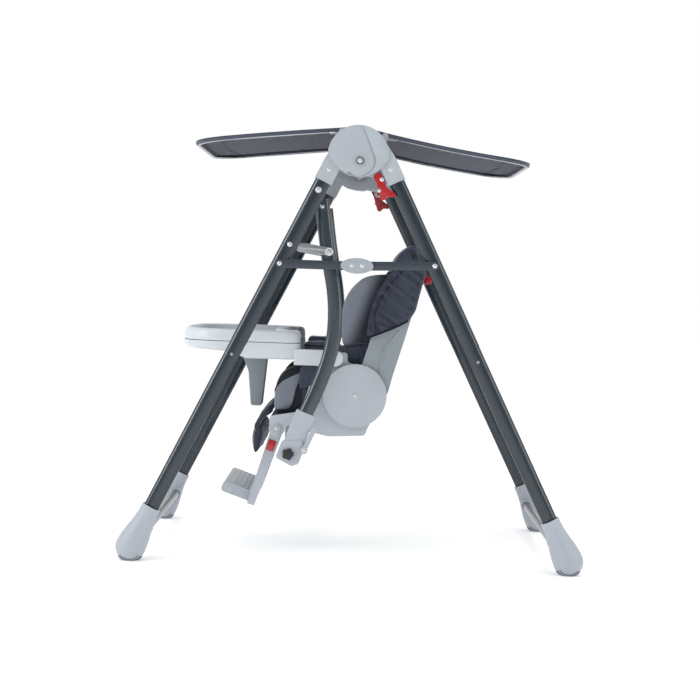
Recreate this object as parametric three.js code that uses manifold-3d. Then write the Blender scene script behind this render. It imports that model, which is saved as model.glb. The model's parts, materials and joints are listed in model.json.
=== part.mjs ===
// Baby swing: a folding A-frame on four feet, a padded seat with tray and footrest hung from its
// front legs, and a flat two-part canopy over the top. Millimetres, +Z up, the child faces -Y,
// the origin is on the floor under the middle of the frame.
//
// Side pieces are drawn for the left side (+X) with x counted outwards from their own plane,
// and are mirrored for the right side. Outlines are drawn in the YZ plane.

import * as THREE from 'three';
import { mergeVertices } from 'three/addons/utils/BufferGeometryUtils.js';
import Module from 'manifold-3d';

const wasm = await Module();
wasm.setup();

// ---------------------------------------------------------------- driving dimensions

const frameWidth = 640;            // between the planes of the left and the right legs
const hubHeight = 962;             // fold axis above the floor
const hubY = -6.7;                 // fold axis, from the middle of the footprint
const gap = 0.35;                  // between pieces that rest on each other
const runningGap = 0.45;           // round pins and tubes in their holes

const legTube = { wide: 38, thick: 20, wall: 1.6 };
const frontLeg = { end: -1, angle: 26, offset: 54.5 };   // offset of the tube from the fold axis
const rearLeg = { end: 1, angle: 26.5, offset: 57.3 };
const sleeveDrop = 82;             // hub sleeves end this far down the leg
const tubeInHub = 45;              // tube hidden in the hub sleeve
const sleeveWall = 2.3;

const foot = { radius: 36, flat: 4, length: 108, collar: 23, narrow: 0.86, tubeDepth: 76 };
const crossTube = { radius: 11, up: 53, inward: 13, socket: 14 };

const hub = {
  upperArc: { y: -4, z: 11, r: 72.5 },
  lowerArc: { y: -1, z: 39, r: 76 },
  seamRadius: 35.5,                // seam between disc and rear shell, from the fold axis
  seamAngle: 22.7,
  bandEnd: -82,                    // lower end of the rear shell, round the fold axis
  foldSweep: 52,                   // a little more than the frame folds
  layer: 12.5,                     // half thickness of the knuckle that turns
  bandGap: 1.85,                   // from the knuckle to the rear shell, clear of the front sleeve
  capFace: 22,
  bandFace: 24,
  innerFace: 23,
  knuckleRadius: 31,
  axleRadius: 6,
  barRadius: 12,
};

// fold release: pivot down the rear leg and clear of its sleeve
const lever = { along: 61.236, clear: 7.309, plate: 4, pin: 4 };

const braceDrop = { front: 300, rear: 296.5 };           // brace bolts, down the legs
const braceBar = { wide: 20, thick: 3, sag: 2.7, boltHead: 8 };
const braceCover = { long: 78, high: 37, thick: 5 };

const swingDrop = 105;             // swing bolt, down the front leg
const swingBolt = { radius: 5, head: 8, spacer: 7.5 };
const lockDrop = 249.5;            // lock link bolt, down the front leg
const lockLink = { y: 92.5, z: -14, wide: 20, thick: 3, plunger: 9.5, pin: 4 };

const hangerInset = 45;            // hanger plane, inboard of the leg plane
const hangerTube = { wide: 35, thick: 18, wall: 1.5 };
const seatBack = 102;              // recline axis, behind the swing bolt
const seatDrop = 492;              // recline axis, below the swing bolt
const strapBolt = { y: 9, z: -37 };                      // hanger bolt, from the swing bolt

const sleeve = { wide: 49, thick: 26, box: 32 };
const carrierBar = { y: -155, z: -137, radius: 9 };      // bar under the seat, from the recline axis
const starKnob = { radius: 13, lobe: 1.6, thick: 11, lobes: 5 };
const latch = { y: -117, z: -127, reach: 55, plate: 4 };

const seatHalf = 178;              // outer faces of the seat base
const wall = 6;                    // moulded walls of seat and backrest
const reclineDisc = { radius: 78, thick: 10, boss: 12 };
const ear = { radius: 62, thick: 6, gap: 1.2 };  // backrest ears, between seat base and discs
const shellWall = 4;                // backrest shell above its ears
const padSide = 2;                 // between a pad and the wall beside it

const footrestAxis = { y: -189, z: -88 };                // from the recline axis
const footrest = {
  plane: seatHalf - 28, armThick: 14, pivot: 16, length: 203, lean: 17.2, pin: 7,
};
const footPlate = { deep: 72, thick: 26, tilt: 19 };
const button = { long: 26, wide: 18, travel: 3, proud: 3 };

const tray = {
  halfWidth: seatHalf + 22, front: -436, rear: -137, bottom: 83, part: 123, rim: 153, wall: 3,
};
const trayArm = { high: 39, thick: 19, z: 90, rear: -51 };
const trayPost = { halfWidth: 22 };

const canopy = {
  ridge: 84, length: { front: 400, rear: 412 }, corner: 100,
  slope: { front: 0.0824, rear: 0.2304 }, bend: { front: -0.0000571, rear: 0.000158 },
  cloth: 4, wire: 3.5, hinge: { front: 45, rear: 57 },
};

// ---------------------------------------------------------------- places worked out from them

const legPlane = frameWidth / 2;
const hangerPlane = legPlane - hangerInset;
const rad = THREE.MathUtils.degToRad;

// A point on a leg: along from the point nearest the fold axis, out from the tube's centre line.
function onLeg(leg, along, out = 0) {
  const angle = rad(leg.angle);
  const across = leg.offset + out;
  return {
    y: hubY + leg.end * (across * Math.cos(angle) + along * Math.sin(angle)),
    z: hubHeight + across * Math.sin(angle) - along * Math.cos(angle),
  };
}

// Distance down the leg at which its centre line is at a given height.
function alongAtHeight(leg, height) {
  return (onLeg(leg, 0).z - height) / Math.cos(rad(leg.angle));
}

const footCentre = (leg) => alongAtHeight(leg, foot.radius - foot.flat);
const tubeTop = sleeveDrop - tubeInHub;
const tubeBottom = (leg) => footCentre(leg) - foot.length + foot.tubeDepth;
const swingAxis = onLeg(frontLeg, swingDrop);
const lockAxis = onLeg(frontLeg, lockDrop);
const reclineAxis = { y: swingAxis.y + seatBack, z: swingAxis.z - seatDrop };

// ---------------------------------------------------------------- shapes

const sideways = new THREE.Matrix4().makeBasis(
  new THREE.Vector3(0, 1, 0), new THREE.Vector3(0, 0, 1), new THREE.Vector3(1, 0, 0));

function outline(points) {
  return new THREE.Shape(points.map(([y, z]) => new THREE.Vector2(y, z)));
}

// A polygon with its corners rounded.
function rounded(points, radius) {
  const corners = points.map(([y, z]) => new THREE.Vector2(y, z));
  const shape = new THREE.Shape();
  corners.forEach((corner, i) => {
    const before = corners.at(i - 1);
    const after = corners[(i + 1) % corners.length];
    const reach = Math.min(radius, corner.distanceTo(before) / 2.1, corner.distanceTo(after) / 2.1);
    const entry = corner.clone().add(before.clone().sub(corner).setLength(reach));
    const exit = corner.clone().add(after.clone().sub(corner).setLength(reach));
    if (i === 0) shape.moveTo(entry.x, entry.y);
    else shape.lineTo(entry.x, entry.y);
    shape.quadraticCurveTo(corner.x, corner.y, exit.x, exit.y);
  });
  shape.closePath();
  return shape;
}

function circle(y, z, radius) {
  return new THREE.Shape().absarc(y, z, radius, 0, 2 * Math.PI);
}

function oval(thick, wide, grow = 0) {
  return new THREE.Shape().absellipse(0, 0, thick / 2 + grow, wide / 2 + grow, 0, 2 * Math.PI);
}

function ovalTube({ thick, wide, wall: skin }) {
  const section = oval(thick, wide);
  section.holes.push(oval(thick, wide, -skin));
  return section;
}

// An outline in the YZ plane, thick along X.
function plate(shape, from, to, curveSegments = 5) {
  const geometry = new THREE.ExtrudeGeometry(
    shape, { depth: to - from, bevelEnabled: false, curveSegments });
  return geometry.translate(0, 0, from).applyMatrix4(sideways);
}

function pin(y, z, radius, from, to, curveSegments = 6) {
  return plate(circle(y, z, radius), from, to, curveSegments);
}

// A plan outline in the XY plane, thick along Z.
function slab(shape, from, to, curveSegments = 6) {
  const geometry = new THREE.ExtrudeGeometry(
    shape, { depth: to - from, bevelEnabled: false, curveSegments });
  return geometry.translate(0, 0, from);
}

// A section swept along a straight line in the YZ plane; the section's x stays along X.
function bar(section, from, to, curveSegments = 8) {
  const start = new THREE.Vector3(0, from.y, from.z);
  const run = new THREE.Vector3(0, to.y, to.z).sub(start);
  const across = new THREE.Vector3(1, 0, 0);
  const direction = run.clone().normalize();
  const third = direction.clone().cross(across);
  const geometry = new THREE.ExtrudeGeometry(
    section, { depth: run.length(), bevelEnabled: false, curveSegments });
  return geometry.applyMatrix4(
    new THREE.Matrix4().makeBasis(across, third, direction).setPosition(start));
}

// A flat bar with round ends between two points of the YZ plane.
function flatBar(a, b, wide, from, to) {
  const angle = Math.atan2(b.z - a.z, b.y - a.y);
  const shape = new THREE.Shape();
  shape.absarc(b.y, b.z, wide / 2, angle - Math.PI / 2, angle + Math.PI / 2);
  shape.absarc(a.y, a.z, wide / 2, angle + Math.PI / 2, angle + 1.5 * Math.PI);
  return plate(shape, from, to, 5);
}

function mirrored(geometry) {
  const other = geometry.index ? geometry.toNonIndexed() : geometry.clone();
  const position = other.attributes.position;
  for (let i = 0; i < position.count; i += 3) {
    const corners = [0, 1, 2].map((k) => new THREE.Vector3().fromBufferAttribute(position, i + k));
    [0, 2, 1].forEach((k, slot) => position.setXYZ(i + slot, -corners[k].x, corners[k].y, corners[k].z));
  }
  return other;
}

// ---------------------------------------------------------------- joins and cuts

function toSolid(geometry) {
  const bare = geometry.clone();
  bare.deleteAttribute('normal');
  bare.deleteAttribute('uv');
  const merged = mergeVertices(bare, 1e-4);
  return new wasm.Manifold(new wasm.Mesh({
    numProp: 3,
    vertProperties: new Float32Array(merged.attributes.position.array),
    triVerts: new Uint32Array(merged.index.array),
  }));
}

function toGeometry(solid) {
  const mesh = solid.getMesh();
  const geometry = new THREE.BufferGeometry();
  geometry.setAttribute('position', new THREE.BufferAttribute(mesh.vertProperties, 3));
  geometry.setIndex(new THREE.BufferAttribute(mesh.triVerts, 1));
  return geometry;
}

const join = (...pieces) => toGeometry(pieces.map(toSolid).reduce((a, b) => a.add(b)));
const cut = (...pieces) => toGeometry(pieces.map(toSolid).reduce((a, b) => a.subtract(b)));
const common = (...pieces) => toGeometry(pieces.map(toSolid).reduce((a, b) => a.intersect(b)));

// ---------------------------------------------------------------- materials

function finish(color, roughness, metalness = 0) {
  return new THREE.MeshStandardMaterial({ color, roughness, metalness });
}

const tubePaint = finish(0x3a444c, 0.3, 0.4);
const barPaint = finish(0x868a90, 0.4, 0.4);
const bracePaint = finish(0x4c545c, 0.4, 0.4);
const hubPlastic = finish(0xb4bac1, 0.45);
const footPlastic = finish(0xb4b9c3, 0.5);
const sleevePlastic = finish(0xb5bac4, 0.5);
const redPlastic = finish(0xb82a2b, 0.35);
const blackPlastic = finish(0x16191c, 0.5);
const zinc = finish(0x9296a0, 0.35, 0.8);
const shellPlastic = finish(0xabb3ba, 0.5);
const trayPlastic = finish(0xccd2d6, 0.45);
const postPlastic = finish(0x858e93, 0.5);
const greyFabric = finish(0x878e99, 0.9);
const darkFabric = finish(0x3c414f, 0.9);
const canopyFabric = finish(0x62677a, 0.85);

// ---------------------------------------------------------------- frame

const swing = new THREE.Group();

function add(name, geometry, material, place = {}, parent = swing) {
  const mesh = new THREE.Mesh(geometry, material);
  mesh.name = name;
  mesh.position.set(place.x ?? 0, place.y ?? 0, place.z ?? 0);
  parent.add(mesh);
}

function addPair(name, geometry, material, plane, place = {}, parent = swing) {
  add(`${name}_left`, geometry, material, { ...place, x: plane }, parent);
  add(`${name}_right`, mirrored(geometry), material, { ...place, x: -plane }, parent);
}

function legGeometry(leg, ...holes) {
  const tube = bar(ovalTube(legTube), onLeg(leg, tubeTop), onLeg(leg, tubeBottom(leg)));
  return holes.length ? cut(tube, ...holes) : tube;
}

function legHole(leg, from, to) {
  return bar(oval(legTube.thick, legTube.wide, gap), onLeg(leg, from), onLeg(leg, to));
}

// A bulb turned about the leg's line, flat where it stands on the floor.
function footGeometry(leg) {
  const { radius, length, collar } = foot;
  const profile = [new THREE.Vector2(0, -radius)];
  for (let step = 1; step <= 4; step += 1) {
    const angle = rad(-90 + 22.5 * step);
    profile.push(new THREE.Vector2(radius * Math.cos(angle), radius * Math.sin(angle)));
  }
  const taper = [[0.18, 0.86], [0.4, 0.48], [0.68, 0.13], [1, 0]];
  for (const [up, share] of taper) {
    profile.push(new THREE.Vector2(collar + (radius - collar) * share, length * up));
  }
  profile.push(new THREE.Vector2(0, length));
  const centre = onLeg(leg, footCentre(leg));
  const bulb = new THREE.LatheGeometry(profile, 18)
    .scale(foot.narrow, 1, 1)
    .rotateX(Math.PI / 2 + leg.end * rad(leg.angle))
    .translate(0, centre.y, centre.z);
  const floorHalf = 3 * radius;
  const below = plate(outline([
    [centre.y - floorHalf, -floorHalf], [centre.y + floorHalf, -floorHalf],
    [centre.y + floorHalf, 0], [centre.y - floorHalf, 0],
  ]), -floorHalf, floorHalf);
  const bottom = tubeBottom(leg);
  const tube = legHole(leg, bottom - foot.tubeDepth - 5, bottom + gap);
  const across = crossBarPlace(leg);
  const socket = pin(across.y, across.z, crossTube.radius + gap, -2 * radius, -crossTube.socket + gap);
  return cut(bulb, below, tube, socket);
}

function crossBarPlace(leg) {
  return onLeg(leg, footCentre(leg) - crossTube.up, -crossTube.inward);
}

function crossBarGeometry() {
  const half = legPlane - crossTube.socket;
  return pin(0, 0, crossTube.radius, -half, half);
}

const boltHole = pin(
  swingAxis.y, swingAxis.z, swingBolt.radius + runningGap, -legTube.thick, legTube.thick);
addPair('front_leg', legGeometry(frontLeg, boltHole), tubePaint, legPlane);
addPair('rear_leg', legGeometry(rearLeg), tubePaint, legPlane);
addPair('front_foot', footGeometry(frontLeg), footPlastic, legPlane);
addPair('rear_foot', footGeometry(rearLeg), footPlastic, legPlane);
add('front_cross_bar', crossBarGeometry(), barPaint, crossBarPlace(frontLeg));
add('rear_cross_bar', crossBarGeometry(), barPaint, crossBarPlace(rearLeg));

// ---------------------------------------------------------------- hubs

// Height of the sheet's top over the fold axis, at a distance from the ridge.
function sheetTop(part, distance) {
  return canopy.ridge - canopy.slope[part] * distance + canopy.bend[part] * distance * distance;
}

const wireDepth = canopy.cloth + gap + canopy.wire;

function canopyEnds() {
  return ['front', 'rear'].map((part) => {
    const distance = canopy.hinge[part];
    return { part, y: (part === 'front' ? -1 : 1) * distance, z: sheetTop(part, distance) - wireDepth - 2 };
  });
}

// The side of the seam that belongs to the rear shell, drawn about the fold axis.
function rearOfSeam(radius, end = hub.bandEnd) {
  const angle = rad(hub.seamAngle);
  const tangent = new THREE.Vector2(Math.cos(angle), Math.sin(angle)).multiplyScalar(radius);
  const up = new THREE.Vector2(-Math.sin(angle), Math.cos(angle));
  const far = 4 * hub.upperArc.r;
  const top = tangent.clone().addScaledVector(up, far);
  const shape = new THREE.Shape();
  shape.moveTo(top.x, top.y);
  shape.lineTo(tangent.x, tangent.y);
  shape.absarc(0, 0, radius, angle, rad(end), true);
  shape.lineTo(far * Math.cos(rad(end)), far * Math.sin(rad(end)));
  shape.lineTo(far, -far);
  shape.lineTo(far, far);
  return shape;
}

function lens(from, to) {
  const { upperArc, lowerArc } = hub;
  return common(
    pin(upperArc.y, upperArc.z, upperArc.r, from, to, 13),
    pin(lowerArc.y, lowerArc.z, lowerArc.r, from, to, 13));
}

// The socket that holds a leg's top end, from the fold axis.
function legSleeve(leg, from, to) {
  const half = legTube.wide / 2 + sleeveWall;
  const local = (along, out) => {
    const point = onLeg(leg, along, out);
    return [point.y - hubY, point.z - hubHeight];
  };
  const corners = [
    local(-8, half - 5), local(30, half), local(sleeveDrop, half),
    local(sleeveDrop, -half), local(24, -half), local(-4, -half + 12),
  ];
  if (leg.end < 0) corners.reverse();
  return plate(outline(corners), from, to);
}

function localLegHole(leg) {
  return legHole(leg, tubeTop - gap, sleeveDrop + 20).translate(0, -hubY, -hubHeight);
}

function frontHubGeometry() {
  const { layer, capFace, innerFace, seamRadius, axleRadius } = hub;
  const face = layer + gap + 0.15;
  const sweptBand = rearOfSeam(seamRadius, hub.bandEnd - hub.foldSweep);
  const disc = cut(lens(face, capFace), plate(sweptBand, 0, 2 * capFace, 6));
  const back = lens(-innerFace, -face);
  const socket = legSleeve(frontLeg, -face - 1, face + 1);
  const hinges = canopyEnds().map(({ y, z }) => join(
    flatBar({ y: 0.5 * y, z: 0.5 * z }, { y, z }, 15, -innerFace, -face),
    pin(y, z, canopy.wire, -innerFace - 13, -face - 1)));
  const axle = pin(0, 0, axleRadius + runningGap, -2 * innerFace, 2 * innerFace);
  return cut(join(disc, back, socket, ...hinges), axle, localLegHole(frontLeg));
}

// The fold release pivots beside the inner face of the rear leg's sleeve.
const leverAxis = onLeg(rearLeg, lever.along, -(legTube.wide / 2 + sleeveWall + lever.clear));

function rearHubGeometry() {
  const { layer, bandFace, knuckleRadius, axleRadius, seamRadius } = hub;
  const knuckle = pin(0, 0, knuckleRadius, -layer, layer, 14);
  const web = plate(outline([[-6, -29], [10, 30], [48, 14], [58, -28], [44, -38]]), -layer, layer);
  const band = common(
    lens(layer + hub.bandGap, bandFace), plate(rearOfSeam(seamRadius + 0.7), 0, 2 * bandFace, 6));
  const socket = legSleeve(rearLeg, -layer, bandFace - 4);
  const pivot = { y: leverAxis.y - hubY, z: leverAxis.z - hubHeight };
  const lug = pin(pivot.y, pivot.z, 11, -layer, layer);
  const axle = pin(0, 0, axleRadius + runningGap, -2 * layer, 2 * layer);
  const leverHole = pin(pivot.y, pivot.z, lever.pin + runningGap, -2 * layer, 2 * layer);
  return cut(join(knuckle, web, band, socket, lug), axle, leverHole, localLegHole(rearLeg));
}

// The fold axle: a tube between the hubs with a pin and a screw head at each end.
function topBarGeometry() {
  const tubeHalf = legPlane - hub.innerFace - gap;
  const faceHalf = legPlane + hub.capFace + gap;
  return join(
    pin(0, 0, hub.barRadius, -tubeHalf, tubeHalf, 10),
    pin(0, 0, hub.axleRadius, -faceHalf - 3, faceHalf + 3),
    pin(0, 0, hub.axleRadius + 3, faceHalf, faceHalf + 4),
    pin(0, 0, hub.axleRadius + 3, -faceHalf - 4, -faceHalf));
}

function foldLeverGeometry() {
  const face = hub.layer + gap + 0.15;
  const blade = plate(rounded([
    [-21, 7], [-7, 18], [-3, 14], [6, -3], [10, -17], [16, -21], [34, -34],
    [31, -40], [14, -40], [7, -49], [-1, -47], [-8, -25], [-13, -8],
  ], 3), face, face + lever.plate, 2);
  return join(blade, pin(0, 0, lever.pin, -hub.layer + 2, face + 1));
}

const hubPlace = { y: hubY, z: hubHeight };
addPair('hub_front', frontHubGeometry(), hubPlastic, legPlane, hubPlace);
addPair('hub_rear', rearHubGeometry(), hubPlastic, legPlane, hubPlace);
add('top_cross_bar', topBarGeometry(), barPaint, hubPlace);
addPair('fold_lever', foldLeverGeometry(), redPlastic, legPlane,
  leverAxis);

// ---------------------------------------------------------------- folding braces

function braceJoint() {
  const front = onLeg(frontLeg, braceDrop.front);
  const rear = onLeg(rearLeg, braceDrop.rear);
  return { y: (front.y + rear.y) / 2, z: (front.z + rear.z) / 2 - braceBar.sag };
}

// A flat link from a leg bolt to the middle joint, with its bolt's spacer against the leg.
function braceLink(bolt, from) {
  const legFace = legTube.thick / 2;
  const middle = braceJoint();
  return join(
    flatBar(bolt, middle, braceBar.wide, from, from + braceBar.thick),
    pin(bolt.y, bolt.z, 6, legFace + gap, from + 1),
    pin(bolt.y, bolt.z, braceBar.boltHead, from + 1, from + braceBar.thick + 3));
}

const braceFace = legTube.thick / 2 + 3;
const rearBraceFace = braceFace + braceBar.thick + 3.6;
const coverFace = rearBraceFace + braceBar.thick + 0.6;

function frontBraceGeometry() {
  const middle = braceJoint();
  const link = braceLink(onLeg(frontLeg, braceDrop.front), braceFace);
  return join(link, pin(middle.y, middle.z, 6, braceFace + 1, rearBraceFace - gap));
}

function rearBraceGeometry() {
  return braceLink(onLeg(rearLeg, braceDrop.rear), rearBraceFace);
}

function braceCoverGeometry() {
  const shape = new THREE.Shape()
    .absellipse(0, 0, braceCover.long / 2, braceCover.high / 2, 0, 2 * Math.PI);
  return plate(shape, coverFace, coverFace + braceCover.thick, 10);
}

addPair('brace_front_link', frontBraceGeometry(), bracePaint, legPlane);
addPair('brace_rear_link', rearBraceGeometry(), bracePaint, legPlane);
addPair('brace_cover', braceCoverGeometry(), hubPlastic, legPlane, braceJoint());

// ---------------------------------------------------------------- swing bolts and locks

const strap = { thick: 3, wide: 19 };
const strapFace = -hangerInset + hangerTube.thick / 2;   // strap lies on the hanger's outer face

function swingBoltGeometry() {
  const legFace = legTube.thick / 2 + gap;
  return join(
    pin(0, 0, swingBolt.radius, strapFace - 3, legFace + 1),
    pin(0, 0, swingBolt.head, legFace, legFace + 5),
    pin(0, 0, swingBolt.spacer, strapFace + strap.thick + gap, -legFace));
}

function lockLinkGeometry() {
  const from = strapFace + strap.thick + 8.5;
  const free = { y: lockLink.y, z: lockLink.z };
  const link = join(
    flatBar({ y: 0, z: 0 }, free, lockLink.wide, from, from + lockLink.thick),
    pin(0, 0, 7, from + 1, -legTube.thick / 2 - gap));
  return cut(link, pin(free.y, free.z, lockLink.pin + runningGap, from - 9, from + 9));
}

function lockPlungerGeometry() {
  const from = strapFace + strap.thick + 8.5 + lockLink.thick + gap;
  return join(
    pin(0, 0, lockLink.plunger, from, from + 4, 10),
    pin(0, 0, lockLink.pin, strapFace + 2.5, from + 5));
}

addPair('swing_bolt', swingBoltGeometry(), zinc, legPlane, swingAxis);
addPair('lock_link', lockLinkGeometry(), zinc, legPlane, lockAxis);
addPair('lock_plunger', lockPlungerGeometry(), zinc, legPlane,
  { y: lockAxis.y + lockLink.y, z: lockAxis.z + lockLink.z });

// ---------------------------------------------------------------- seat, from its recline axis

const seat = new THREE.Group();
seat.position.set(0, reclineAxis.y, reclineAxis.z);
swing.add(seat);

const seatPair = (name, geometry, material, plane, place) =>
  addPair(name, geometry, material, plane, place, seat);
const seatPiece = (name, geometry, material, place) => add(name, geometry, material, place, seat);

const swingBoltSeat = { y: -seatBack, z: seatDrop };
const sleeveMouth = { y: -115, z: -38 };
const sleeveEnd = { y: -144, z: -116 };

// The hanger's bow: how far back it stands at each share of its height above the sleeve.
function hangerPath() {
  const top = swingBoltSeat.z + strapBolt.z;
  const bow = [
    [-131, -0.09], [-115, 0], [-93, 0.103], [-71, 0.229], [-57, 0.353], [-54, 0.481],
    [-59, 0.6], [-72, 0.736], [-83, 0.866], [-95, 1.035],
  ];
  return new THREE.CatmullRomCurve3(bow.map(([y, share]) => new THREE.Vector3(
    0, y + share * (swingBoltSeat.y + 102), sleeveMouth.z + share * (top - sleeveMouth.z))));
}

function hangerSweep(section) {
  return new THREE.ExtrudeGeometry(
    section, { extrudePath: hangerPath(), steps: 14, bevelEnabled: false, curveSegments: 6 });
}

function hangerGeometry() {
  const low = { y: swingBoltSeat.y + strapBolt.y, z: swingBoltSeat.z + strapBolt.z };
  const from = -hangerTube.thick / 2;
  const outer = hangerTube.thick / 2;
  const tube = hangerSweep(ovalTube(hangerTube));
  const link = join(
    flatBar(swingBoltSeat, low, strap.wide, outer - 0.6, outer + strap.thick),
    pin(low.y, low.z, 5, from - 3, outer + 1),
    pin(low.y, low.z, 7, outer + 1, outer + strap.thick + 3));
  return cut(join(tube, link),
    pin(swingBoltSeat.y, swingBoltSeat.z, swingBolt.radius + runningGap, 0, 2 * outer));
}

function sleeveGeometry() {
  const half = { thick: sleeve.thick / 2, box: sleeve.box / 2 };
  const mouthToEnd = new THREE.Vector2(sleeveEnd.y - sleeveMouth.y, sleeveEnd.z - sleeveMouth.z);
  const across = new THREE.Vector2(mouthToEnd.y, -mouthToEnd.x).setLength(sleeve.wide / 2);
  const corner = (base, sign) => [base.y + sign * across.x, base.z + sign * across.y];
  const tubeEnd = plate(rounded([
    corner(sleeveMouth, -1), corner(sleeveEnd, -1), corner(sleeveEnd, 1), corner(sleeveMouth, 1),
  ], 4), -half.thick, half.thick, 2);
  const box = plate(rounded([
    [-172, -108], [-185, -147], [-146, -167], [-129, -161], [-118, -128], [-122, -104],
  ], 5), -half.box, half.box, 2);
  const { y, z, radius } = carrierBar;
  return cut(join(tubeEnd, box),
    hangerSweep(oval(hangerTube.thick, hangerTube.wide, gap)),
    pin(y, z, radius + gap, -2 * half.box, 4 + gap),
    pin(y, z, 5 + runningGap, 0, 2 * half.box));
}

function starKnobGeometry() {
  const points = [];
  const count = 6 * starKnob.lobes;
  for (let i = 0; i < count; i += 1) {
    const angle = (2 * Math.PI * i) / count;
    const radius = starKnob.radius + starKnob.lobe * Math.cos(starKnob.lobes * angle);
    points.push([radius * Math.cos(angle), radius * Math.sin(angle)]);
  }
  const face = sleeve.box / 2 + gap;
  return join(plate(outline(points), face, face + starKnob.thick), pin(0, 0, 5, 4 + 3 * gap, face + 1));
}

function latchGeometry() {
  const face = sleeve.box / 2 + gap;
  const tip = { y: latch.reach * Math.sin(rad(24)), z: latch.reach * Math.cos(rad(24)) };
  return join(
    flatBar({ y: 0, z: 0 }, tip, 12, face, face + latch.plate),
    pin(0, 0, 9, face, face + latch.plate + 2));
}

seatPair('hanger_tube', hangerGeometry(), tubePaint, hangerPlane);
seatPair('hanger_sleeve', sleeveGeometry(), sleevePlastic, hangerPlane);
seatPair('star_knob', starKnobGeometry(), blackPlastic, hangerPlane, carrierBar);
seatPair('latch_lever', latchGeometry(), sleevePlastic, hangerPlane, latch);
seatPiece('carrier_bar', pin(0, 0, carrierBar.radius, -hangerPlane - 4, hangerPlane + 4),
  barPaint, carrierBar);

const bothWalls = (shape, from, to, curveSegments) => {
  const side = plate(shape, from, to, curveSegments);
  return [side, mirrored(side)];
};

// An open trough: two side walls that run up into the armrest rails, joined by the seat's floor.
function seatBaseGeometry() {
  const inner = seatHalf - wall;
  const side = rounded([
    [-209, -82], [-208, -58], [-141, -46], [-132, -40], [-112, 20], [-108, 66], [-130, 72],
    [-130, 104], [-21, 104], [-21, 80], [10, 74], [45, 52], [62, 20], [62, -30], [34, -79],
    [28, -99], [-63, -104], [-128, -89], [-158, -80],
  ], 8);
  const inside = outline([
    [-300, -63], [-160, -63], [-128, -82], [-62, -98], [22, -93], [28, -79],
    [100, -60], [100, 300], [-300, 300],
  ]);
  const under = outline([[-240, -130], [-240, -69], [-163, -69], [-134, -86], [-150, -130]]);
  const { y, z } = footrestAxis;
  const hook = [
    [carrierBar.y - 17, carrierBar.z], [-170, -65], [-118, -84], [carrierBar.y + 17, carrierBar.z],
  ];
  const ring = (from, to) => join(
    plate(outline(hook), from, to), pin(carrierBar.y, carrierBar.z, 17, from, to));
  const trough = cut(plate(side, -seatHalf, seatHalf, 3),
    plate(inside, -inner, inner), plate(under, -inner, inner));
  const body = join(trough, ...bothWalls(circle(y, z, 20), inner, seatHalf, 10),
    ring(110, 122), ring(-122, -110));
  return cut(body,
    pin(y, z, footrest.pin + runningGap, -2 * seatHalf, 2 * seatHalf),
    pin(carrierBar.y, carrierBar.z, carrierBar.radius + gap, -seatHalf, seatHalf));
}

function reclineDiscGeometry() {
  const face = ear.thick + 2 * ear.gap;
  const { radius, thick, boss } = reclineDisc;
  const skin = 3;
  const dish = cut(
    pin(0, 0, radius, face, face + thick, 16), pin(0, 0, radius - 7, face - 1, face + thick - skin, 12));
  return join(
    dish,
    pin(0, 0, boss, gap, face + thick - 1),
    pin(0, 0, 6, face + thick - 1, face + thick + 2));
}

// A padded bucket: side bolsters up to the armrests with the cushion lower between them.
function seatPadGeometry() {
  const half = seatHalf - wall - padSide;
  const side = rounded([
    [-204, -61], [-159, -61], [-127, -79.5], [-62, -95.5], [20, -90.5], [25, -76], [38, -20],
    [36, 10], [10, 50], [-27, 62], [-45, 100], [-61, 140], [-130, 140], [-135, 120], [-135, 81],
    [-151, 77], [-176, 66], [-192, 51], [-205, 25], [-208, -6], [-210, -34],
  ], 10);
  const hollow = rounded([
    [-300, -14], [-200, -14], [-150, -22], [-60, -30], [10, -22], [30, 10], [70, 60],
    [70, 200], [-300, 200],
  ], 10);
  return cut(plate(side, -half, half, 2), plate(hollow, -half + 50, half - 50, 2));
}

seatPiece('seat_base', seatBaseGeometry(), shellPlastic);
seatPair('recline_disc', reclineDiscGeometry(), shellPlastic, seatHalf);
seatPiece('seat_pad', seatPadGeometry(), greyFabric);

// ---------------------------------------------------------------- backrest

const backHalf = seatHalf + ear.gap + ear.thick;

// Back panel with side walls that end in ears between the seat base and the recline discs.
function backrestShellGeometry() {
  const inner = backHalf - ear.thick;
  const side = rounded([
    [79, 2], [92, 56], [117, 141], [129, 186], [141, 235], [149, 290], [140, 320], [120, 333],
    [100, 325], [70, 260], [45, 180], [28, 120], [10, 60], [20, -20],
  ], 10);
  const inside = outline([
    [61.5, -80], [75.5, 4], [88.5, 57], [113.5, 142], [125.5, 187], [137.5, 236], [145.5, 289],
    [137.5, 315.5], [119, 329], [98, 333], [98, 400], [-100, 400], [-100, -80],
  ]);
  const trough = cut(
    plate(side, -backHalf, backHalf, 2), plate(inside, shellWall - backHalf, backHalf - shellWall));
  return cut(
    join(trough, ...bothWalls(circle(0, 0, ear.radius), inner, backHalf, 12)),
    pin(0, 0, reclineDisc.boss + runningGap, -2 * backHalf, 2 * backHalf));
}

function backrestPadGeometry() {
  const half = seatHalf - wall - padSide;
  const side = rounded([
    [-43, 117], [-48, 132], [-50, 165], [-46, 215], [-38, 243], [-19, 270], [8, 293],
    [34, 303], [90, 306], [126, 304], [139, 286], [131, 236], [119, 187], [107, 142], [82, 57], [70, 24], [52, 26], [40, 64], [17, 121],
  ], 10);
  const hollow = outline([
    [49, 10], [63, 60], [85, 142], [99, 190], [110, 240], [113, 290], [109, 400],
    [-100, 400], [-100, 10],
  ]);
  const bolster = 35;
  return cut(plate(side, -half, half, 2), plate(hollow, -half + bolster, half - bolster));
}

const cover = { side: 6, slotHalf: 12 };

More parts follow.
